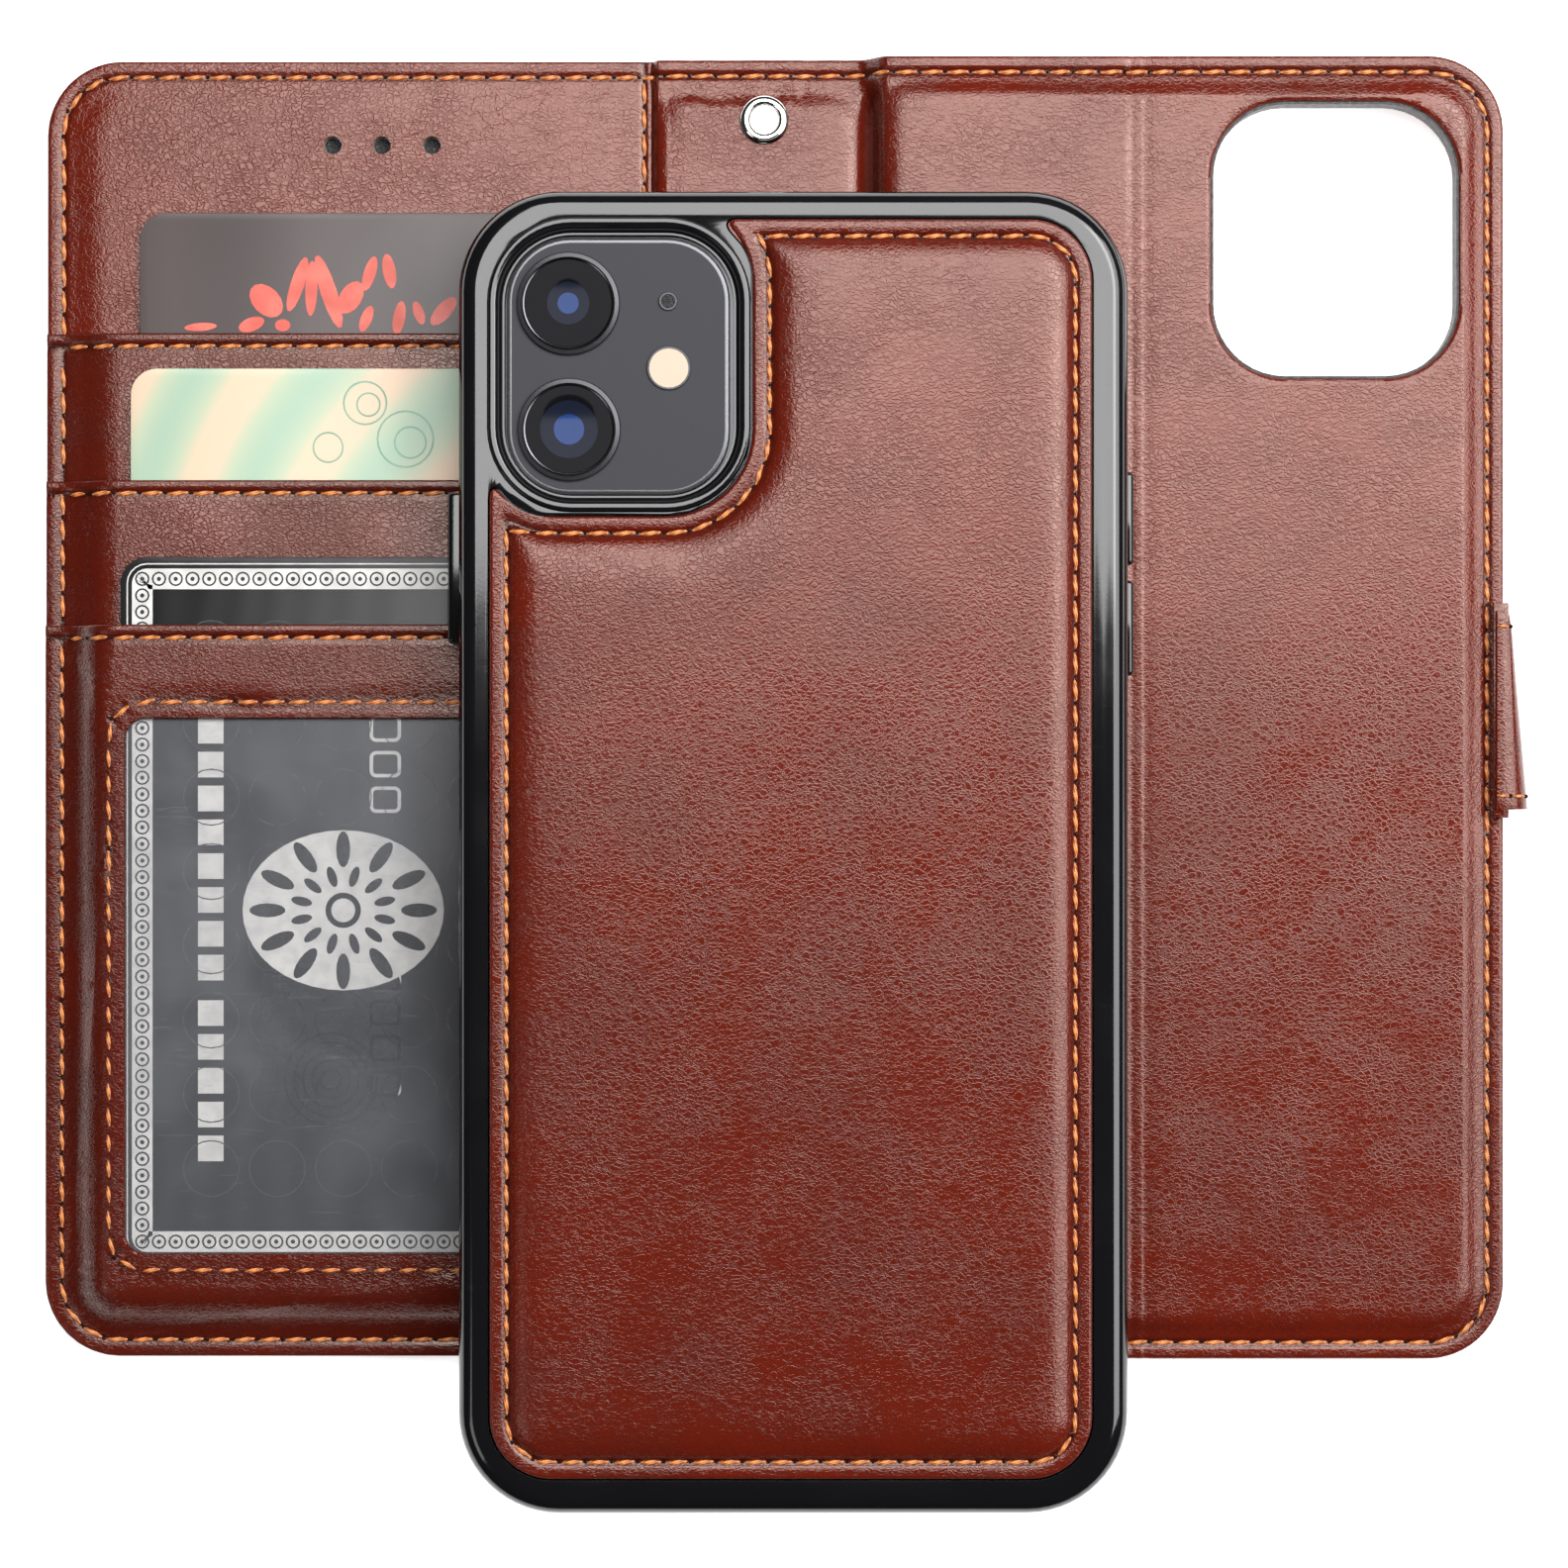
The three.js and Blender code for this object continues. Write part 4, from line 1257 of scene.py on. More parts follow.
    def _boards(self) -> None:
        """Make the stiff boards, held in from the sewn edges."""
        inset = self.board_inset
        magnets = [disc(*Span.of(f"dock_magnet_{index + 1}").middle, 5.3) for index in range(4)]
        keeper = Span.of("keeper_plate").panel(0.0).grown(0.3)
        plans = {
            "front_board": ("front_cover", (6.0, 1.0, 1.0, 6.0),
                            [keeper.corners()] + self.sound_discs(self.sound_radius)),
            "spine_board": ("spine", (1.0,) * 4, [disc(*self.eyelet.middle, 2.5)]),
            "back_inner_board": ("back_inner", (1.0,) * 4, []),
            "back_outer_board": ("back_outer", (1.0, 6.0, 6.0, 1.0),
                                 magnets + [self.window.grown(0.6).corners()]),
        }
        for node, (body, radii, holes) in plans.items():
            box = Span.of(node)
            left = box.left + (inset if node == "front_board" else 1.0)
            right = box.right - (inset if node == "back_outer_board" else 1.0)
            panel = Panel(left, right, box.bottom + inset, box.top - inset, radii)
            sheet = Sheet(panel.corners(), lambda x, y, box=box: box.high,
                          lambda x, y, box=box: box.low, holes=holes, rings=(0.2,),
                          hole_rings=(0.1,), pitch=25.0)
            make_piece(sheet.build(), node + "_cut", (Finish.BOARD,), "cover_board", body, (node,))

    def _window_edge(self) -> None:
        """Make the painted band that closes the cut edge of the camera window."""
        mesh = band(self.window.grown(0.02).corners(), 0.32, self.back_skin.low + 0.15,
                    self.outer.high - 0.55, 10)
        make_piece(mesh, "window_edge", (Finish.RAW_EDGE,), "outer_leather", "back_outer")

    def _sound_hole_shade(self) -> None:
        """Fill the sound holes below the liner with dark discs, painted as the shade inside the
        holes.
        """
        mesh = bmesh.new()
        for outline in self.sound_discs(self.sound_radius - 0.05):
            add_mesh(mesh, prism(outline, 0.5, 0.9, 6))
        make_piece(mesh, "sound_hole_shade", (Finish.MESH,), "dark_mesh", "front_cover")

    def _eyelet(self) -> None:
        """Make the eyelet with its rolled flange."""
        x, y = self.eyelet.middle
        top, foot = self.eyelet.high, self.eyelet.low
        flange, barrel, bore = 2.95, 2.1, 1.7
        profile = [(bore, foot + 0.1), (barrel - 0.05, foot), (barrel, foot + 0.2),
                   (barrel, top - 0.75), (flange - 0.1, top - 0.62), (flange, top - 0.42),
                   (flange - 0.18, top - 0.18), (flange - 0.5, top - 0.03),
                   (flange - 0.8, top), (bore + 0.22, top - 0.12), (bore + 0.06, top - 0.32),
                   (bore, top - 0.6)]
        make_piece(turned(x, y, profile, closed=True), "eyelet", (Finish.NICKEL,), "nickel",
                   "spine", ("eyelet_barrel",), sharp=55.0)
        dress("eyelet_washer", Finish.NICKEL)

    def body_at(self, x: float) -> str:
        """Return the body that carries the cover at an X."""
        if x < self.folds["front_fold"]:
            return "front_cover"
        if x < self.folds["spine_fold"]:
            return "spine"
        return "back_inner" if x < self.folds["stand_fold"] else "back_outer"

    def _threads(self) -> None:
        """Sew round the whole cover, on both of its sides, and down the liner's free edge."""
        path = inset_path(self.outline.corners(), self.seam_inset)
        for body in ("front_cover", "spine", "back_inner", "back_outer"):
            def here(x: float, y: float, body: str = body) -> bool:
                """Say whether a stitch belongs to this body and shows."""
                pocketed = x < -18.5 and y < 54.0 and body == "front_cover"
                return self.body_at(x) == body and not pocketed

            top = self.liner_top if body == "front_cover" else self.lining_top
            Seam(f"thread_{body}", body, path, top, closed=True, keep=here).build()
            Seam(f"thread_{body}_outside", body, path, self.skin_under, closed=True,
                 face=Face.LOWER,
                 keep=lambda x, y, body=body: self.body_at(x) == body).build()
        right = self.front.right - 1.0
        Seam("thread_liner", "front_cover",
             line((right, self.outline.bottom + 2.4), (right, self.outline.top - 2.4)),
             self.liner_top).build()


# ---- pockets and cards


@dataclass
class CardPockets:
    """Three sewn pockets, the front one with a clear window."""

    cover: FoldingCover
    thick: float = 0.48
    hems: tuple[float, float, float] = (2.46, 2.98, 3.50)
    nodes: tuple[str, str, str] = ("card_pocket_1", "card_pocket_2", "id_pocket")
    mouth_seam: float = 1.6
    window: Panel = Panel(-79.8, -27.6, -57.7, 7.0, (2.5,) * 4)

    def __post_init__(self) -> None:
        """Work out the pads that the cards make in the pockets."""
        self.boxes = [Span.of(node) for node in self.nodes]
        self.pads = []
        for hem, box in zip(self.hems, self.boxes):
            swell = Panel(box.left + 2.7, box.right - 0.7, box.bottom + 2.7, box.top + 60.0,
                          (6.5, 3.0, 0.0, 0.0))
            self.pads.append(Pad(swell, box.high - hem, 5.2))

    def seam(self, index: int, x: float, y: float) -> float:
        """Say how much of the pocket's sewn groove is at a place."""
        box = self.boxes[index]
        rows = [ridge(self.cover.outline.depth(x, y), 2.0, 0.42),
                ridge(box.top - y, self.mouth_seam, 0.4), ridge(box.right - x, 1.6, 0.4)]
        if index == 2:
            rows.append(ridge(-self.window.depth(x, y), 2.0, 0.4))
        return max(rows)

    def top(self, index: int, x: float, y: float) -> float:
        """Return the height of a pocket's outer side."""
        box = self.boxes[index]
        from_mouth = box.top - y
        depth = min(self.cover.outline.depth(x, y), from_mouth, box.right - x)
        if index == 2:
            depth = min(depth, max(0.0, -self.window.depth(x, y)))
        rolled = 0.1 * ridge(from_mouth, 0.75, 0.55)
        uneven = 0.14 * ripple(x, y, 22.0, 11.0 + index) + 0.1 * ripple(x, y, 9.0, 3.0 + index)
        inward = smooth(self.pads[index].panel.depth(x, y), 0.0, 8.0)
        dip = 0.2 * self.seam(index, x, y)
        return (self.hems[index] + self.pads[index].rise(x, y) + rolled - dip
                + uneven * 0.6 * inward * (0.4 if index == 2 and x > -39.0 else 1.0)
                - edge_roll(depth, 0.22) - 0.05)

    def under(self, index: int, x: float, y: float) -> float:
        """Return the height of a pocket's inner side."""
        return self.hems[index] + self.pads[index].rise(x, y) - self.thick

    def build(self) -> None:
        """Make the pockets, the film and their threads."""
        for index, node in enumerate(self.nodes):
            box = self.boxes[index]
            outline = Panel(box.left, box.right, box.bottom, box.top,
                            (self.cover.corner, 0.0, 0.0, 0.0)).corners()
            holes = (self.window.corners(),) if index == 2 else ()
            mouth = [box.top - part for part in (0.3, 0.6, 0.9, 1.2, 1.6, 2.0, 2.5)]
            sheet = Sheet(outline, partial(self.top, index), partial(self.under, index),
                          holes=holes, rings=(0.08, 0.22, 1.6, 2.0, 2.4), pitch=1.3,
                          extra_y=mouth, seam=partial(self.seam, index))
            make_piece(sheet.build(), f"pocket_{index + 1}", (Finish.POCKET,), "inner_leather",
                       "front_cover", (node,))
            self._sew(index)
        film = Span.of("id_window")
        swell = film.panel(3.5)
        sheet = Sheet(swell.corners(), lambda x, y: film.high - 0.04 + 0.05 * ripple(x, y, 18.0),
                      lambda x, y: film.low + 0.02 + 0.05 * ripple(x, y, 18.0), rings=(0.5,),
                      pitch=3.0)
        make_piece(sheet.build(), "window_film", (Finish.FILM,), "clear_film", "front_cover",
                   ("id_window",))

    def _sew(self, index: int) -> None:
        """Sew one pocket along its mouth, its free side, the cover's edge and its window."""
        box, name = self.boxes[index], f"thread_pocket_{index + 1}"
        sewn = partial(Seam, body="front_cover", surface=partial(self.top, index))
        mouth = box.top - self.mouth_seam
        foot = (self.boxes[index + 1].top if index < 2 else box.bottom) + 0.6
        side = box.right - 1.6
        sewn(name + "_mouth", path=line((box.left + 2.4, mouth), (box.right - 0.8, mouth))).build()
        sewn(name + "_side", path=line((side, foot), (side, mouth - 1.6))).build()
        path = inset_path(self.cover.outline.corners(), 2.0)
        sewn(name + "_edge", path=path, closed=True,
             keep=lambda x, y: x < box.right - 1.0 and foot < y < mouth - 0.8
             or index == 2 and x < box.right - 1.0 and y <= foot).build()
        if index == 2:
            around = inset_path(self.window.corners(), -2.0, 4)
            sewn(name + "_window", path=around, closed=True).build()


@dataclass
class Prints:
    """Small flat printed shapes gathered into one thin mesh."""

    level: float
    thick: float = 0.02

    def __post_init__(self) -> None:
        """Start with no shapes."""
        self.mesh = bmesh.new()

    def bar(self, left: float, bottom: float, width: float, height: float, index: int = 0,
            radius: float = 0.0) -> None:
        """Print a bar."""
        corners = Panel(left, left + width, bottom, bottom + height, (radius,) * 4).corners()
        add_mesh(self.mesh, prism(corners, self.level, self.level + self.thick, 3), index)

    def leaf(self, x: float, y: float, length: float, width: float, turn: float,
             index: int = 0, sides: int = 14) -> None:
        """Print a leaf or a spot."""
        part = bmesh.new()
        shape = (Matrix.Translation((x, y, self.level)) @ Matrix.Rotation(turn, 4, "Z")
                 @ Matrix.Diagonal((length / 2, width / 2, 1.0, 1.0)))
        bmesh.ops.create_circle(part, cap_ends=True, segments=sides, radius=1.0, matrix=shape)
        thicken(part, part.faces[:], self.thick)
        add_mesh(self.mesh, part, index)

    def hoop(self, x: float, y: float, radius: float, width: float, index: int = 0,
             steps: int = 24) -> None:
        """Print a ring."""
        top = self.level + self.thick
        profile = [(radius - width / 2, self.level), (radius + width / 2, self.level),
                   (radius + width / 2, top), (radius - width / 2, top)]
        add_mesh(self.mesh, turned(x, y, profile, steps, closed=True), index)

    def border(self, panel: Panel, width: float, index: int = 0) -> None:
        """Print a line just inside an outline."""
        top = self.level + self.thick
        add_mesh(self.mesh, band(panel.corners(), width, self.level, top, 5), index)

    def finish(self, name: str, finishes: Sequence[Finish], slot: str, body: str) -> None:
        """Make the shapes one piece."""
        make_piece(self.mesh, name, finishes, slot, body)


@dataclass
class Cards:
    """Three generic bank cards in the pockets."""

    corner: float = 3.2
    print_drop: float = 0.03
    made: tuple[tuple[str, str, str, Finish], ...] = (
        ("card_1", "card_one", "grey_card", Finish.GREY_CARD),
        ("card_2", "card_two", "mint_card", Finish.MINT_CARD),
        ("card_3", "card_three", "black_card", Finish.BLACK_CARD))

    def build(self) -> None:
        """Make the cards and what is printed on them."""
        for node, body, slot, finish in self.made:
            box = Span.of(node)
            mesh = prism(box.panel(self.corner).corners(), box.low, box.high - self.print_drop)
            soften_rims(mesh, 0.12, 2, (box.low, box.high - self.print_drop))
            make_piece(mesh, node + "_body", (finish,), slot, body, (node,))
        self._petals()
        self._swirls()
        self._ornament()

    def _petals(self) -> None:
        """Print coral petals along the grey card's upper end."""
        box = Span.of("card_1")
        prints = Prints(box.high - self.print_drop)
        for x, y, length, width, degrees in (
                (15.4, -10.7, 4.8, 3.3, -45.0), (19.2, -8.7, 7.0, 1.7, 72.0),
                (20.9, -9.2, 6.8, 1.5, 88.0), (23.0, -9.6, 9.4, 2.0, -72.0),
                (25.7, -10.3, 4.4, 2.7, 58.0), (28.0, -7.4, 4.4, 1.5, 73.0),
                (30.4, -7.1, 4.3, 1.6, -80.0), (27.6, -12.9, 3.4, 1.4, 68.0),
                (37.0, -12.0, 4.4, 1.9, 48.0), (13.6, -13.6, 3.3, 1.7, 20.0),
                (17.4, -13.7, 1.9, 1.5, 0.0), (7.4, -13.9, 4.0, 1.0, 4.0),
                (31.6, -12.8, 4.2, 1.5, 80.0), (34.0, -12.2, 3.0, 1.3, -70.0)):
            prints.leaf(box.left + x, box.top + y, length, width, math.radians(degrees))
            prints.level += 0.003
        prints.finish("card_1_print", (Finish.CORAL_INK,), "grey_card", "card_one")

    def _swirls(self) -> None:
        """Print pale curls on the mint card."""
        box = Span.of("card_2")
        prints = Prints(box.high - self.print_drop)
        for x, y, radius in ((28.5, -4.2, 2.6), (28.9, -4.4, 1.4), (33.4, -8.6, 3.4),
                             (34.0, -9.0, 1.9), (24.0, -9.6, 1.8)):
            prints.hoop(box.left + x, box.top + y, radius, 0.22)
        prints.finish("card_2_print", (Finish.MINT_INK,), "mint_card", "card_two")

    def _ornament(self) -> None:
        """Print the black card's border, its plain emblem, chip and rows of bars."""
        box = Span.of("card_3")
        edge = box.panel(self.corner)
        prints = Prints(box.high - self.print_drop)
        prints.border(edge.grown(-0.75), 0.16)
        prints.border(edge.grown(-1.4), 2.5)
        prints.border(edge.grown(-4.2), 0.14)
        prints.level += prints.thick
        self._ring_row(prints, box)
        prints.level -= prints.thick
        self._field_rings(prints, box)
        self._emblem(prints, box)
        prints.finish("card_3_print", (Finish.WHITE_INK, Finish.GREY_INK, Finish.GREY_INK,
                                       Finish.DARK_INK),
                      "black_card", "card_three")

    def _ring_row(self, prints: Prints, box: Span) -> None:
        """Print the row of little rings inside the border."""
        inset, pitch = 2.65, 2.0
        wide, tall = box.right - box.left - 2 * inset, box.top - box.bottom - 2 * inset
        columns, rows = round(wide / pitch), round(tall / pitch)
        places = [(x, box.bottom + inset + tall * step / rows) for step in range(rows + 1)
                  for x in (box.left + inset, box.right - inset)]
        places += [(box.left + inset + wide * step / columns, y) for step in range(1, columns)
                   for y in (box.bottom + inset, box.top - inset)]
        for x, y in places:
            prints.hoop(x, y, 0.78, 0.22, 3, steps=12)
            prints.leaf(x, y, 0.55, 0.55, 0.0, 3, sides=8)

    def _field_rings(self, prints: Prints, box: Span) -> None:
        """Print the faint engraved rings that fill the field."""
        for row in range(8):
            for column in range(5):
                x = box.left + 11.0 + 8.0 * column
                y = box.bottom + 11.5 + 9.0 * row
                prints.hoop(x, y, 3.4, 0.14, 1, steps=20)

    def _emblem(self, prints: Prints, box: Span) -> None:
        """Print a plain rosette on a dark shield, and bars where words and numbers would be."""
        x, y = (box.left + box.right) / 2, (box.bottom + box.top) / 2
        prints.bar(x - 10.0, y - 27.0, 17.0, 24.0, 3, 6.0)
        for step in range(5):
            prints.hoop(x - 1.5, y - 20.5, 1.2 + 1.1 * step, 0.2, 1)
        prints.level += prints.thick
        prints.leaf(x, y, 24.4, 19.4, 0.0, sides=40)
        prints.level += prints.thick
        for reach, length, width, shift in ((7.4, 4.4, 1.7, 0.0), (4.2, 2.6, 1.1, 0.5)):
            for step in range(12):
                angle = math.tau * (step + shift) / 12
                prints.leaf(x + 1.24 * reach * math.cos(angle), y + reach * math.sin(angle), length,
                            width, math.atan2(math.sin(angle), 1.24 * math.cos(angle)), 3)
        prints.hoop(x, y, 1.8, 0.7, 3)
        prints.level -= 2 * prints.thick
        for step in range(13):
            prints.bar(box.left + 9.4, box.top - 22.6 - 4.1 * step - 1.4 * (step // 8), 3.1, 3.1)
        for step in (*range(3), *range(7, 11)):
            top = box.top - 19.2 - 4.3 * step
            prints.border(Panel(x + 3.2, x + 7.0, top - 3.2, top, (0.8,) * 4), 0.42)
        for step, size in enumerate((12.0, 8.0)):
            prints.bar(box.right - 12.6, box.bottom + 12.0 + 16.0 * step, 0.9, size)


# ---- the clasp


@dataclass
class Clasp:
    """The strap that is folded away under the cover, its sewn root and its magnetic tip."""

    root: Span = packed("clasp_root")
    strap: Span = packed("strap_leather")
    tip: Span = packed("tip_leather")
    end_corner: float = 5.0
    lean: tuple[float, float] = (0.8, 3.0)
    cover_edge: float = 87.1

    def outer_edge(self, y: float) -> float:
        """Return how far the strap reaches at a Y; it leans out towards the bottom."""
        share = (y - self.strap.bottom) / (self.strap.top - self.strap.bottom)
        return self.cover_edge + self.lean[1] + (self.lean[0] - self.lean[1]) * share

    def build(self) -> None:
        """Make the root, the strap and their threads."""
        self._root()
        self._strap()
        dress("tip_magnet", Finish.MAGNET)

    def _root(self) -> None:
        """Make the bend of the strap and the strip sewn over its end."""
        low, high = self.root.low, self.root.high + 0.25
        mesh = bmesh.new()
        start, full = self.cover_edge + 0.12, 90.0
        section = [Corner(start, low), Corner(full, low, 0.5), Corner(full, high, 2.0),
                   Corner(self.root.left + 0.6, high, 0.3),
                   Corner(self.root.left + 0.6, high - 0.75), Corner(start, high - 0.75)]
        face = flat_face(mesh, section, 0.0, 5)
        reach = self.strap.top - self.strap.bottom
        thicken(mesh, [face], reach)
        cut = [edge for edge in mesh.edges if abs(edge.verts[0].co.z - edge.verts[1].co.z) > 1.0]
        bmesh.ops.subdivide_edges(mesh, edges=cut, cuts=15, use_grid_fill=False)
        upright = Matrix.Translation((0.0, self.strap.top, 0.0)) @ Matrix.Rotation(
            math.pi / 2, 4, "X")
        bmesh.ops.transform(mesh, matrix=upright, verts=mesh.verts[:])
        for point in mesh.verts:
            if point.co.x <= start:
                continue
            share = (point.co.x - start) / (full - start)
            out = share * (self.outer_edge(point.co.y) - start)
            out -= 0.5 * smooth(point.co.y, self.strap.top - 2.2, self.strap.top + 0.4) * out
            point.co.x = start + out
            point.co.z -= 0.24 * out * smooth(point.co.z, low, high)
        face_out(mesh)
        rims = [edge for edge in mesh.edges if edge.calc_face_angle(0.0) > 1.2]
        round_over(mesh, rims, 0.18, 2)
        strip = rounded_block(self.root.left + 0.4, self.cover_edge + 0.35, self.root.bottom,
                              self.root.top, self.root.low + 3.5, self.root.high - 0.1, 0.14, 2)
        add_mesh(mesh, strip)
        make_piece(mesh, "clasp_bend", (Finish.OUTER,), "outer_leather", "back_outer",
                   ("clasp_root",))
        level = self.root.high + 0.25
        for name, y in (("upper", self.strap.top - 1.9), ("lower", self.strap.bottom + 1.6)):
            Seam(f"thread_clasp_{name}", "back_outer",
                 line((self.root.left + 0.5, y + 0.1), (self.outer_edge(y) - 0.4, y)),
                 lambda x, y: level - 0.35 * smooth(x, 87.0, 89.5), pitch=1.9, length=1.6,
                 width=0.4, slant=0.0).build()

    def _strap(self) -> None:
        """Make the strap and its tip as one length, creased where they meet."""
        low, high = self.strap.low, self.strap.high
        far = self.end_corner
        outline = [Corner(self.tip.left, self.strap.bottom, far),
                   Corner(self.outer_edge(self.strap.bottom) - 0.2, self.strap.bottom),
                   Corner(self.outer_edge(self.strap.top) - 0.2, self.strap.top),
                   Corner(self.tip.left, self.strap.top, far)]
        fold = (self.tip.right + self.strap.left) / 2
        ends = Panel(self.tip.left, 90.2, self.strap.bottom, self.strap.top, (far, 0.5, 0.5, far))

        def seam(x: float, y: float) -> float:
            """Say how much of the sewn groove is at a place."""
            return ridge(ends.depth(x, y), 1.7, 0.4)

        def above(x: float, y: float) -> float:
            """Return the height of the strap's upper side."""
            return (high - 0.05 - edge_roll(ends.depth(x, y), 0.6) - 0.16 * seam(x, y)
                    - 0.2 * ridge(x, fold, 0.7))

        def below(x: float, y: float) -> float:
            """Return the height of the strap's lower side."""
            return (low + 0.02 + edge_roll(ends.depth(x, y), 0.6) + 0.16 * seam(x, y)
                    + 0.2 * ridge(x, fold, 0.7))

        sheet = Sheet(outline, above, below, rings=(0.15, 0.35, 0.6, 1.35, 1.7, 2.05), pitch=1.2,
                      seam=seam)
        piece = make_piece(sheet.build(), "clasp_strap_leather", (Finish.OUTER,),
                           "outer_leather", stands_for=("strap_leather", "tip_leather"))
        bend(piece, ("clasp_strap", "clasp_tip"), (fold + 1.5, fold - 1.5))
        path = inset_path(outline, 1.7)
        for body, holds in (("clasp_strap", lambda x, y: fold + 1.0 < x < 87.5),
                            ("clasp_tip", lambda x, y: x < fold - 1.0)):
            Seam(f"thread_{body}_upper", body, path, above, closed=True, keep=holds).build()
            Seam(f"thread_{body}_lower", body, path, below, closed=True, face=Face.LOWER,
                 keep=holds).build()


# ---- the phone case


@dataclass
class PhoneCase:
    """The detachable case: a glossy frame and a padded leather back with a bite for the camera."""

    outer: Span = packed("bumper_frame")
    leather: Span = packed("case_leather")
    ring: Span = packed("camera_ring")
    handset: Span = packed("phone_body")
    shell: Span = packed("back_shell")
    corner: float = 12.0
    edge_round: float = 2.2
    seam_inset: float = 2.0
    hem_rise: float = 0.55
    pad_rise: float = 1.22
    field_radius: float = 7.3
    bite: Panel = Panel(-36.9, -3.8, 30.7, 68.4, (10.3,) * 4)
    opening: Panel = Panel(-34.2, -5.0, 32.2, 65.1, (9.0,) * 4)

    def outline(self) -> list[Corner]:
        """Return the leather's outline with its bite for the camera."""
        box, radius = self.leather, self.field_radius
        bite = self.bite
        return [Corner(box.left, box.bottom, radius), Corner(box.right, box.bottom, radius),
                Corner(box.right, box.top, radius), Corner(bite.right - 3.8, box.top, 0.9),
                Corner(bite.right, box.top - 4.3, 6.0), Corner(bite.right, bite.bottom, 10.3),
                Corner(box.left + 3.4, bite.bottom, 6.0),
                Corner(box.left, bite.bottom + 4.6, 0.9)]

    def depth(self, x: float, y: float) -> float:
        """Return the distance in from the leather's edge."""
        first = self.leather.panel(self.field_radius).depth(x, y)
        second = -self.bite.depth(x, y)
        blend = max(0.0, 1.2 - abs(first - second)) / 1.2
        return min(first, second) - blend * blend * 0.3

    def seam(self, x: float, y: float) -> float:
        """Say how much of the sewn groove is at a place."""
        return ridge(self.depth(x, y), self.seam_inset, 0.4)

    def top(self, x: float, y: float) -> float:
        """Return the height of the padded back."""
        depth = self.depth(x, y)
        inward = smooth(depth, 4.2, 12.0)
        level = self.leather.low + self.hem_rise - edge_roll(depth, 0.4)
        level += self.pad_rise * (1.0 - math.exp(-max(0.0, depth - 2.3) / 1.5))
        level += inward * (0.16 * ripple(x, y, 34.0, 1.0) + 0.05 * ripple(x, y, 12.0, 4.0))
        return level - 0.3 * self.seam(x, y)

    def build(self) -> None:
        """Make the frame, the back, the ring and the keys."""
        self._leather()
        self._frame()
        self._ring()
        self._keys()
        dress("steel_plate", Finish.STEEL)
        dress("foam_pad", Finish.FOAM)
        self._shell()

    def _leather(self) -> None:
        """Make the padded leather and sew round it."""
        rings = (0.1, 0.25, 0.45, 0.9, 1.4, 1.65, 1.85, 2.15, 2.4, 2.75, 3.05)
        sheet = Sheet(self.outline(), self.top,
                      lambda x, y: self.leather.low + edge_roll(self.depth(x, y), 0.2),
                      rings=rings, pitch=0.8, seam=self.seam, steps=10)
        piece = make_piece(sheet.build(), "case_back_leather", (Finish.INNER,), "inner_leather",
                           "phone_case", ("case_leather",))
        Seam("thread_case", "phone_case", inset_path(self.outline(), self.seam_inset), self.top,
             closed=True).build()

    def _shell(self) -> None:
        """Make the hard plate under the leather."""
        mesh = prism(self.outline(), self.shell.low, self.shell.high)
        soften_rims(mesh, 0.15, 2, (self.shell.high,))
        make_piece(mesh, "case_shell", (Finish.SHELL,), "black_shell", "phone_case",
                   ("back_shell",))

    def _frame(self) -> None:
        """Make the glossy frame, with room for the handset, the leather, the camera and keys."""
        box = self.outer
        mesh = prism(box.panel(self.corner).corners(), box.low, box.high, 14)
        soften_rims(mesh, self.edge_round, 7, (box.low, box.high))
        piece = make_piece(mesh, "case_frame", (Finish.FRAME,), "black_frame")
        room = self.handset.panel(10.2).grown(0.1)
        top = box.high + 1.0
        cutters = [prism(room.corners(), box.low - 1.0, self.handset.high + 0.05, 12),
                   prism(moved_out(self.outline(), 0.22), self.handset.high - 1.0, top, 12),
                   prism(self.opening.grown(1.0).corners(), self.handset.high - 1.0, top, 12)]
        cutters += [rounded_block(*place, 0.8, 3) for place in self._slots()]
        self._carve(piece, cutters)
        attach(piece, "phone_case")
        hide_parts("bumper_frame")

    def _slots(self) -> list[tuple[float, float, float, float, float, float]]:
        """Return the boxes that are cut through the frame's walls for keys, port and speakers."""
        low, high = 10.3, 14.2
        box, places = self.outer, []
        for node in ("volume_up", "volume_down"):
            key = Span.of(node)
            places.append((box.right - 3.2, box.right + 3.0, key.bottom - 0.3, key.top + 0.3,
                           low - 0.3, high + 0.3))
        places.append((box.right - 3.2, box.right + 3.0, 41.9, 51.9, low, high))
        key = Span.of("power_button")
        places.append((box.left - 3.0, box.left + 3.2, key.bottom - 0.3, key.top + 0.3,
                       low - 0.3, high + 0.3))
        middle = (box.left + box.right) / 2
        for near, far, trim in ((-7.0, 7.0, 0.0), (10.5, 24.5, 0.8), (-24.5, -10.5, 0.8)):
            places.append((middle + near, middle + far, box.bottom - 2.0, box.bottom + 5.0,
                           low + trim, high - trim))
        return places

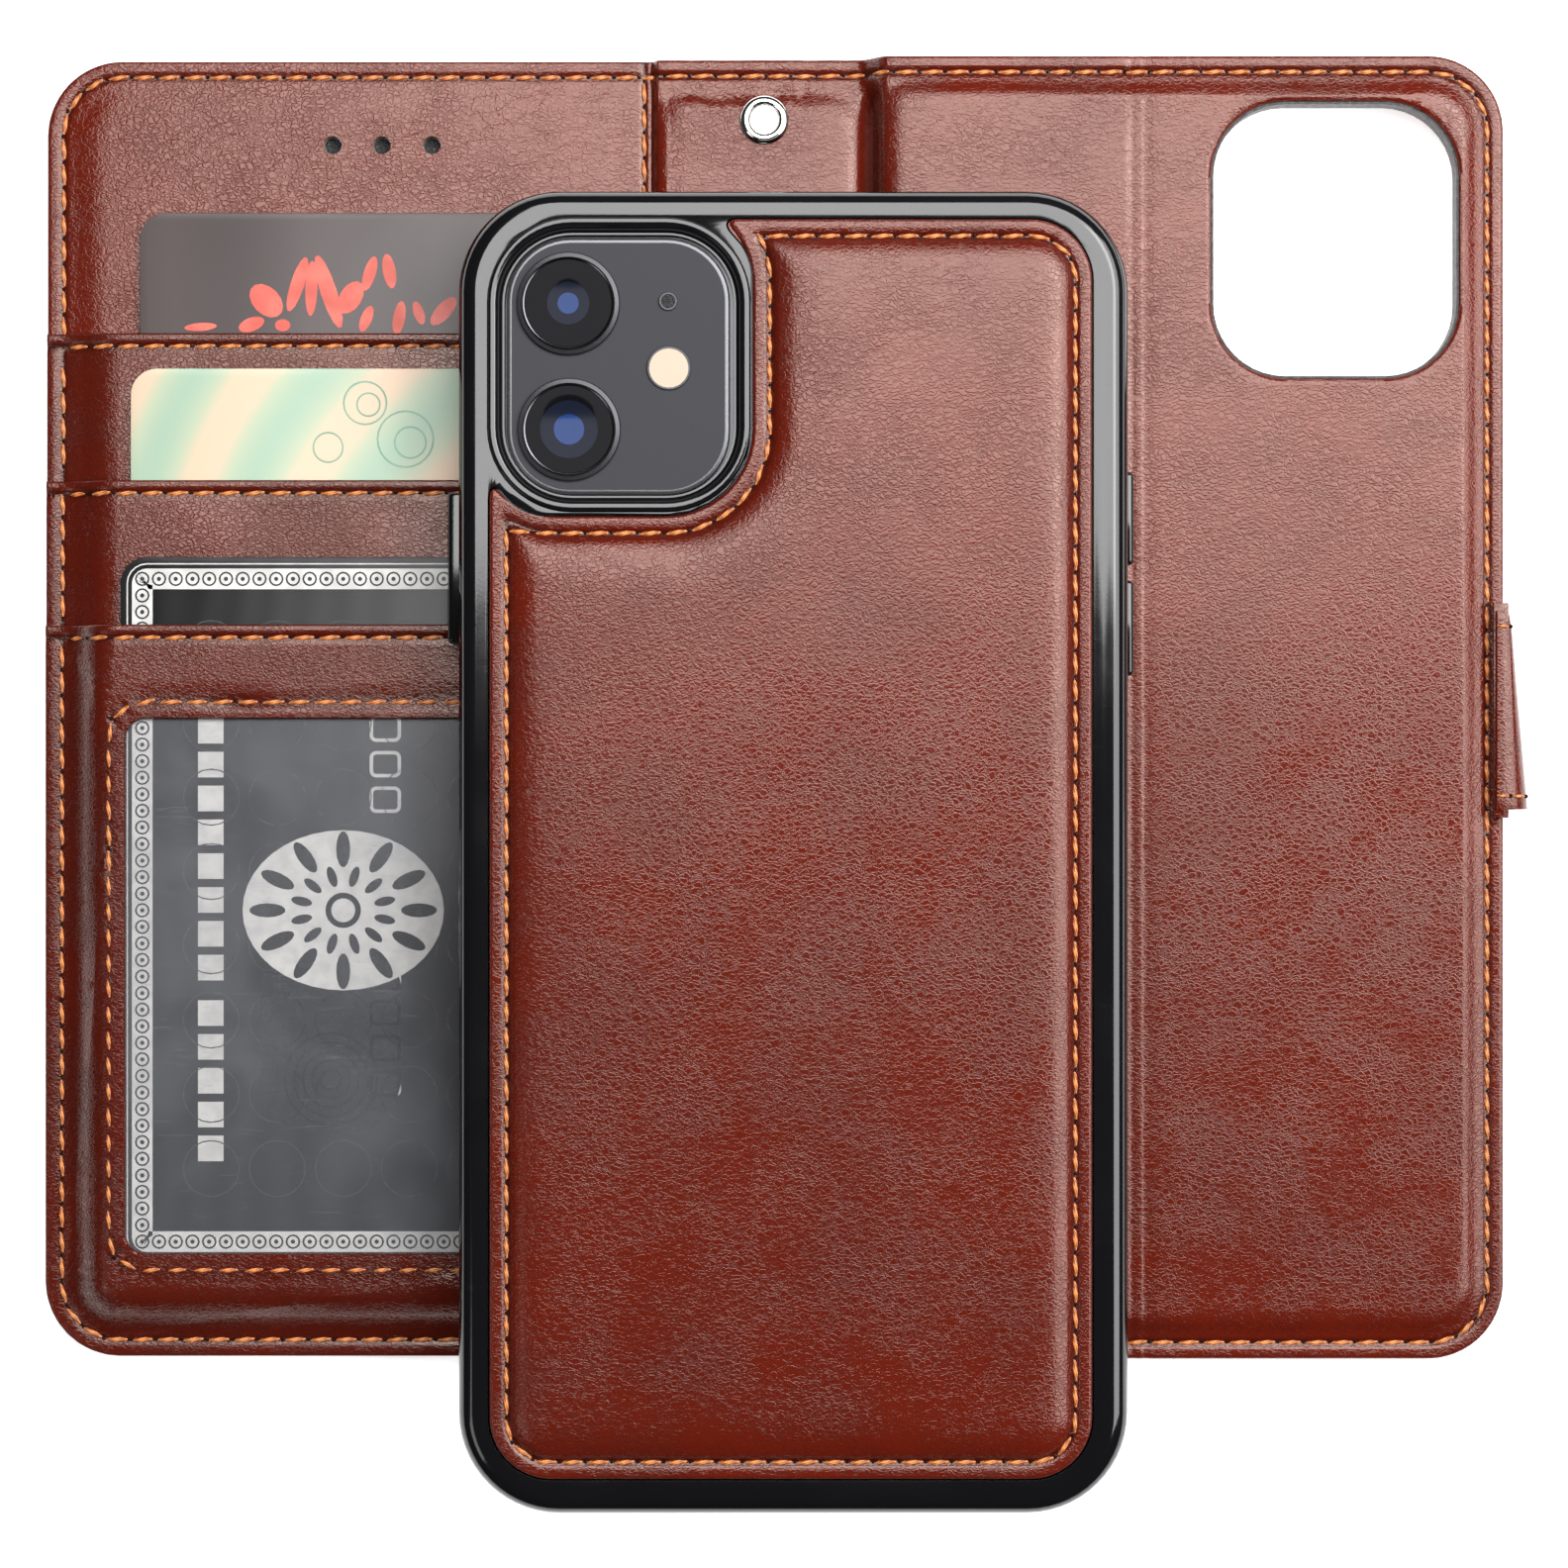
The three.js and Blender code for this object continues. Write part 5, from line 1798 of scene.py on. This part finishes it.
    def _carve(self, piece: Object, cutters: Sequence[BMesh]) -> None:
        """Take the cutters away from a piece, then ease the edges that they leave.

        Args:
            piece: The piece to carve, its mesh in metres.
            cutters: The shapes to take away, in millimetres; each is freed.
        """
        tools = []
        for cutter in cutters:
            bmesh.ops.scale(cutter, vec=(MM, MM, MM), verts=cutter.verts[:])
            tools.append(put_in_scene("cutter", settle(cutter, "cutter")))
            modifier = piece.modifiers.new("carve", "BOOLEAN")
            modifier.operation, modifier.solver = "DIFFERENCE", "EXACT"
            modifier.object = tools[-1]
        ease = piece.modifiers.new("ease", "BEVEL")
        ease.width, ease.segments, ease.limit_method = 0.22 * MM, 3, "ANGLE"
        ease.angle_limit, ease.use_clamp_overlap = math.radians(50.0), True
        ease.miter_outer = "MITER_ARC"
        bpy.context.view_layer.update()
        ready = piece.evaluated_get(bpy.context.evaluated_depsgraph_get())
        carved = bpy.data.meshes.new_from_object(ready)
        piece.modifiers.clear()
        piece.data = carved
        carved.shade_smooth()
        carved.set_sharp_from_angle(angle=math.radians(38.0))
        for tool in tools:
            bpy.data.objects.remove(tool)

    def _ring(self) -> None:
        """Make the lip round the camera, which slopes in to the lens plate."""
        mesh = bmesh.new()
        steps = ((0.1, 0.18), (0.12, 0.06), (0.66, 0.0), (0.1, -0.08), (0.3, -0.5),
                 (0.42, -0.78), (0.22, 0.0))
        wall, base = 1.8, self.ring.low + 0.25
        face = flat_face(mesh, self.opening.grown(0.92).corners(), base, 14)
        face_out(mesh)
        grown = bmesh.ops.extrude_face_region(mesh, geom=[face])
        face = next(part for part in grown["geom"] if isinstance(part, BMFace))
        bmesh.ops.translate(mesh, verts=face.verts[:], vec=(0.0, 0.0, wall))
        for thickness, rise in steps:
            inset(mesh, face, thickness)
            bmesh.ops.translate(mesh, verts=face.verts[:], vec=(0.0, 0.0, rise))
        inner = list(face.edges)
        bmesh.ops.delete(mesh, geom=[face], context="FACES_ONLY")
        floor = [item for item in mesh.faces if len(item.verts) > 20]
        bmesh.ops.delete(mesh, geom=floor, context="FACES_ONLY")
        outer = [edge for edge in mesh.edges if edge.is_boundary and edge not in set(inner)]
        bmesh.ops.bridge_loops(mesh, edges=inner + outer)
        face_out(mesh)
        make_piece(mesh, "camera_lip", (Finish.FRAME,), "black_frame", "phone_case",
                   ("camera_ring",))

    def _keys(self) -> None:
        """Make the three key covers."""
        for node, body in (("volume_up", "volume_up_key"), ("volume_down", "volume_down_key"),
                           ("power_button", "power_key")):
            box = Span.of(node)
            mesh = rounded_block(box.left, box.right, box.bottom, box.top, box.low, box.high,
                                 0.55, 4)
            make_piece(mesh, node + "_cover", (Finish.FRAME,), "black_frame", body, (node,))


# ---- the handset


@dataclass
class Handset:
    """A generic handset: body with its screen, lens plate, two lenses, flash and microphone."""

    body: Span = packed("phone_body")
    plate: Span = packed("camera_plate")
    corner: float = 10.1
    edge_round: float = 2.6

    def build(self) -> None:
        """Make all of the handset's pieces."""
        self._body()
        self._plate()
        self._lens("lens_upper", 5.2, 2.5, 1.25)
        self._lens("lens_lower", 5.2, 3.4, 1.8)
        self._small()

    def _body(self) -> None:
        """Make the body, with the screen on its lower side."""
        box = self.body
        mesh = prism(box.panel(self.corner).corners(), box.low, box.high, 12)
        soften_rims(mesh, self.edge_round, 6, (box.low, box.high))
        for face in mesh.faces:
            if face.calc_center_median().z < box.low + 0.01:
                inset(mesh, face, 0.7)
                face.material_index = 1
                break
        make_piece(mesh, "handset_body", (Finish.ALLOY, Finish.SCREEN), "handset_metal",
                   "handset", ("phone_body",))

    def _plate(self) -> None:
        """Make the lens plate with its rounded rim, whose paler metallic finish is a painted
        highlight.
        """
        box = self.plate
        mesh = prism(box.panel(7.5).corners(), box.low, box.high, 12)
        soften_rims(mesh, 0.35, 3, (box.high,))
        top = max(mesh.faces, key=lambda face: (face.calc_center_median().z, face.calc_area()))
        # Painted highlight: the sides and the rounded rim take the paler rim finish, the top keeps
        # the plate's own.
        for face in mesh.faces:
            face.material_index = 1
        inset(mesh, top, 0.22)
        top.material_index = 0
        make_piece(mesh, "lens_plate", (Finish.PLATE, Finish.PLATE_RIM), "lens_plate", "handset",
                   ("camera_plate",))

    def _lens(self, node: str, glass: float, iris: float, pupil: float) -> None:
        """Make one lens: its ring, bright rim, glass and the parts that show through it.

        Args:
            node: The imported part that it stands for.
            glass: Radius of the glass.
            iris: Radius of the pale inner disc.
            pupil: Radius of the blue pupil.
        """
        box = Span.of(node)
        x, y = box.middle
        edge, top, low = (box.right - box.left) / 2, box.high, box.low
        profile = [(0.0, low), (edge, low), (edge, low + 0.25), (edge - 0.12, low + 0.4),
                   (glass + 0.32, low + 0.5), (glass + 0.26, top - 0.12), (glass + 0.14, top),
                   (glass, top - 0.06), (glass - 0.06, top - 0.16), (iris + 0.06, top - 0.14),
                   (iris, top - 0.15), (pupil + 0.05, top - 0.145), (pupil, top - 0.15),
                   (0.0, top - 0.14)]
        mesh = turned(x, y, profile, 64)
        bands = ((pupil, 4), (iris, 3), (glass - 0.03, 2), (glass + 0.28, 1), (edge + 1.0, 0))
        for face in mesh.faces:
            middle = face.calc_center_median()
            radius = math.hypot(middle.x - x, middle.y - y)
            if middle.z > low + 0.01:
                face.material_index = next(index for limit, index in bands if radius < limit)
        make_piece(mesh, node + "_glass", (Finish.LENS_RING, Finish.BRIGHT_RIM, Finish.LENS,
                                           Finish.IRIS, Finish.PUPIL), "lens_glass", "handset",
                   (node,), sharp=35.0)

    def _small(self) -> None:
        """Make the flash and the microphone."""
        for node, inner, slot in (("flash_window", Finish.FLASH, "flash_lens"),
                                  ("microphone", Finish.MESH, "dark_mesh")):
            box = Span.of(node)
            x, y = box.middle
            radius = (box.right - box.left) / 2
            profile = [(0.0, box.low), (radius, box.low), (radius, box.high - 0.06),
                       (radius - 0.06, box.high), (radius - 0.26, box.high),
                       (radius - 0.3, box.high - 0.08), (0.0, box.high - 0.06)]
            mesh = turned(x, y, profile, 40)
            for face in mesh.faces:
                middle = face.calc_center_median()
                inside = math.hypot(middle.x - x, middle.y - y) < radius - 0.28
                face.material_index = 1 if inside and middle.z > box.low + 0.02 else 0
            make_piece(mesh, node + "_cap", (Finish.LENS_RING, inner), slot, "handset", (node,),
                       sharp=35.0)


# ---- the studio


@dataclass(frozen=True)
class SoftLight:
    """A rectangular light, its place and size in metres."""

    name: str
    place: tuple[float, float, float]
    size: tuple[float, float]
    glow: float
    aim: tuple[float, float, float] = (0.0, 0.0, 0.0)
    upright: bool = False

    def make(self) -> None:
        """Hang the light and point it."""
        data = bpy.data.lights.new(self.name, "AREA")
        data.shape, data.size, data.size_y = "RECTANGLE", *self.size
        data.energy = self.glow * math.pi * self.size[0] * self.size[1]
        lamp = put_in_scene(self.name, data)
        lamp.location = self.place
        if not self.upright:
            back = Vector(self.place) - Vector(self.aim)
            lamp.rotation_euler = back.to_track_quat("Z", "Y").to_euler()


@dataclass
class Studio:
    """A white table, soft lights from above and a camera that looks straight down."""

    height: float = 0.5
    lens: float = 93.6
    lights: tuple[SoftLight, ...] = (
        SoftLight("key", (0.17, 0.35, 0.7), (0.76, 0.59), 9.0, upright=True),
        SoftLight("right wall", (0.60, 0.12, 0.66), (0.82, 0.54), 6.8),
        SoftLight("left strip", (-0.62, -0.38, 0.8), (0.3, 0.3), 3.0),
    )

    def build(self) -> None:
        """Make the table, the lights, the dim room and the camera."""
        self._table()
        for light in self.lights:
            light.make()
        world = bpy.data.worlds.new("room")
        bpy.context.scene.world = world
        world.use_nodes = True
        colour, strength = world.node_tree.nodes["Background"].inputs[:2]
        colour.default_value, strength.default_value = (1.0,) * 4, 0.03
        bpy.context.scene.view_settings.view_transform = "Standard"
        self._camera()

    def _table(self) -> None:
        """Make the white table top."""
        mesh = bmesh.new()
        bmesh.ops.create_grid(mesh, x_segments=2, y_segments=2, size=12.0,
                              matrix=Matrix.Translation((0.0, 0.0, -0.0004)))
        data = settle(mesh, "table_top")
        material, graph = new_material("table white")
        shade = graph.ramp(graph.noise(graph.coordinates(), 4.0, 2.0), 0.2, 0.8, 0.9, 0.93)
        graph.surface({"Base Color": graph.blend(shade, (0.8, 0.8, 0.8), (0.95, 0.95, 0.95)),
                       "Roughness": 0.9, "Emission Color": (1.0, 1.0, 1.0, 1.0),
                       "Emission Strength": 0.75})
        data.materials.append(material)
        put_in_scene("table_top", data)

    def _camera(self) -> None:
        """Place the camera over the object."""
        data = bpy.data.cameras.new("view")
        data.lens, data.sensor_width, data.sensor_fit = self.lens, 36.0, "HORIZONTAL"
        data.clip_start, data.clip_end = 0.05, 60.0
        camera = put_in_scene("view", data)
        camera.location = (-0.0001, -0.0009, self.height)
        bpy.context.scene.camera = camera


def main() -> None:
    """Build every sub-assembly in order."""
    logging.basicConfig(level=logging.INFO, format="%(name)s %(message)s")
    Studio().build()
    cover = FoldingCover()
    for assembly in (cover, CardPockets(cover), Cards(), Clasp(), PhoneCase(), Handset()):
        LOG.info("building %s", type(assembly).__name__)
        assembly.build()


if __name__ == "__main__":
    main()
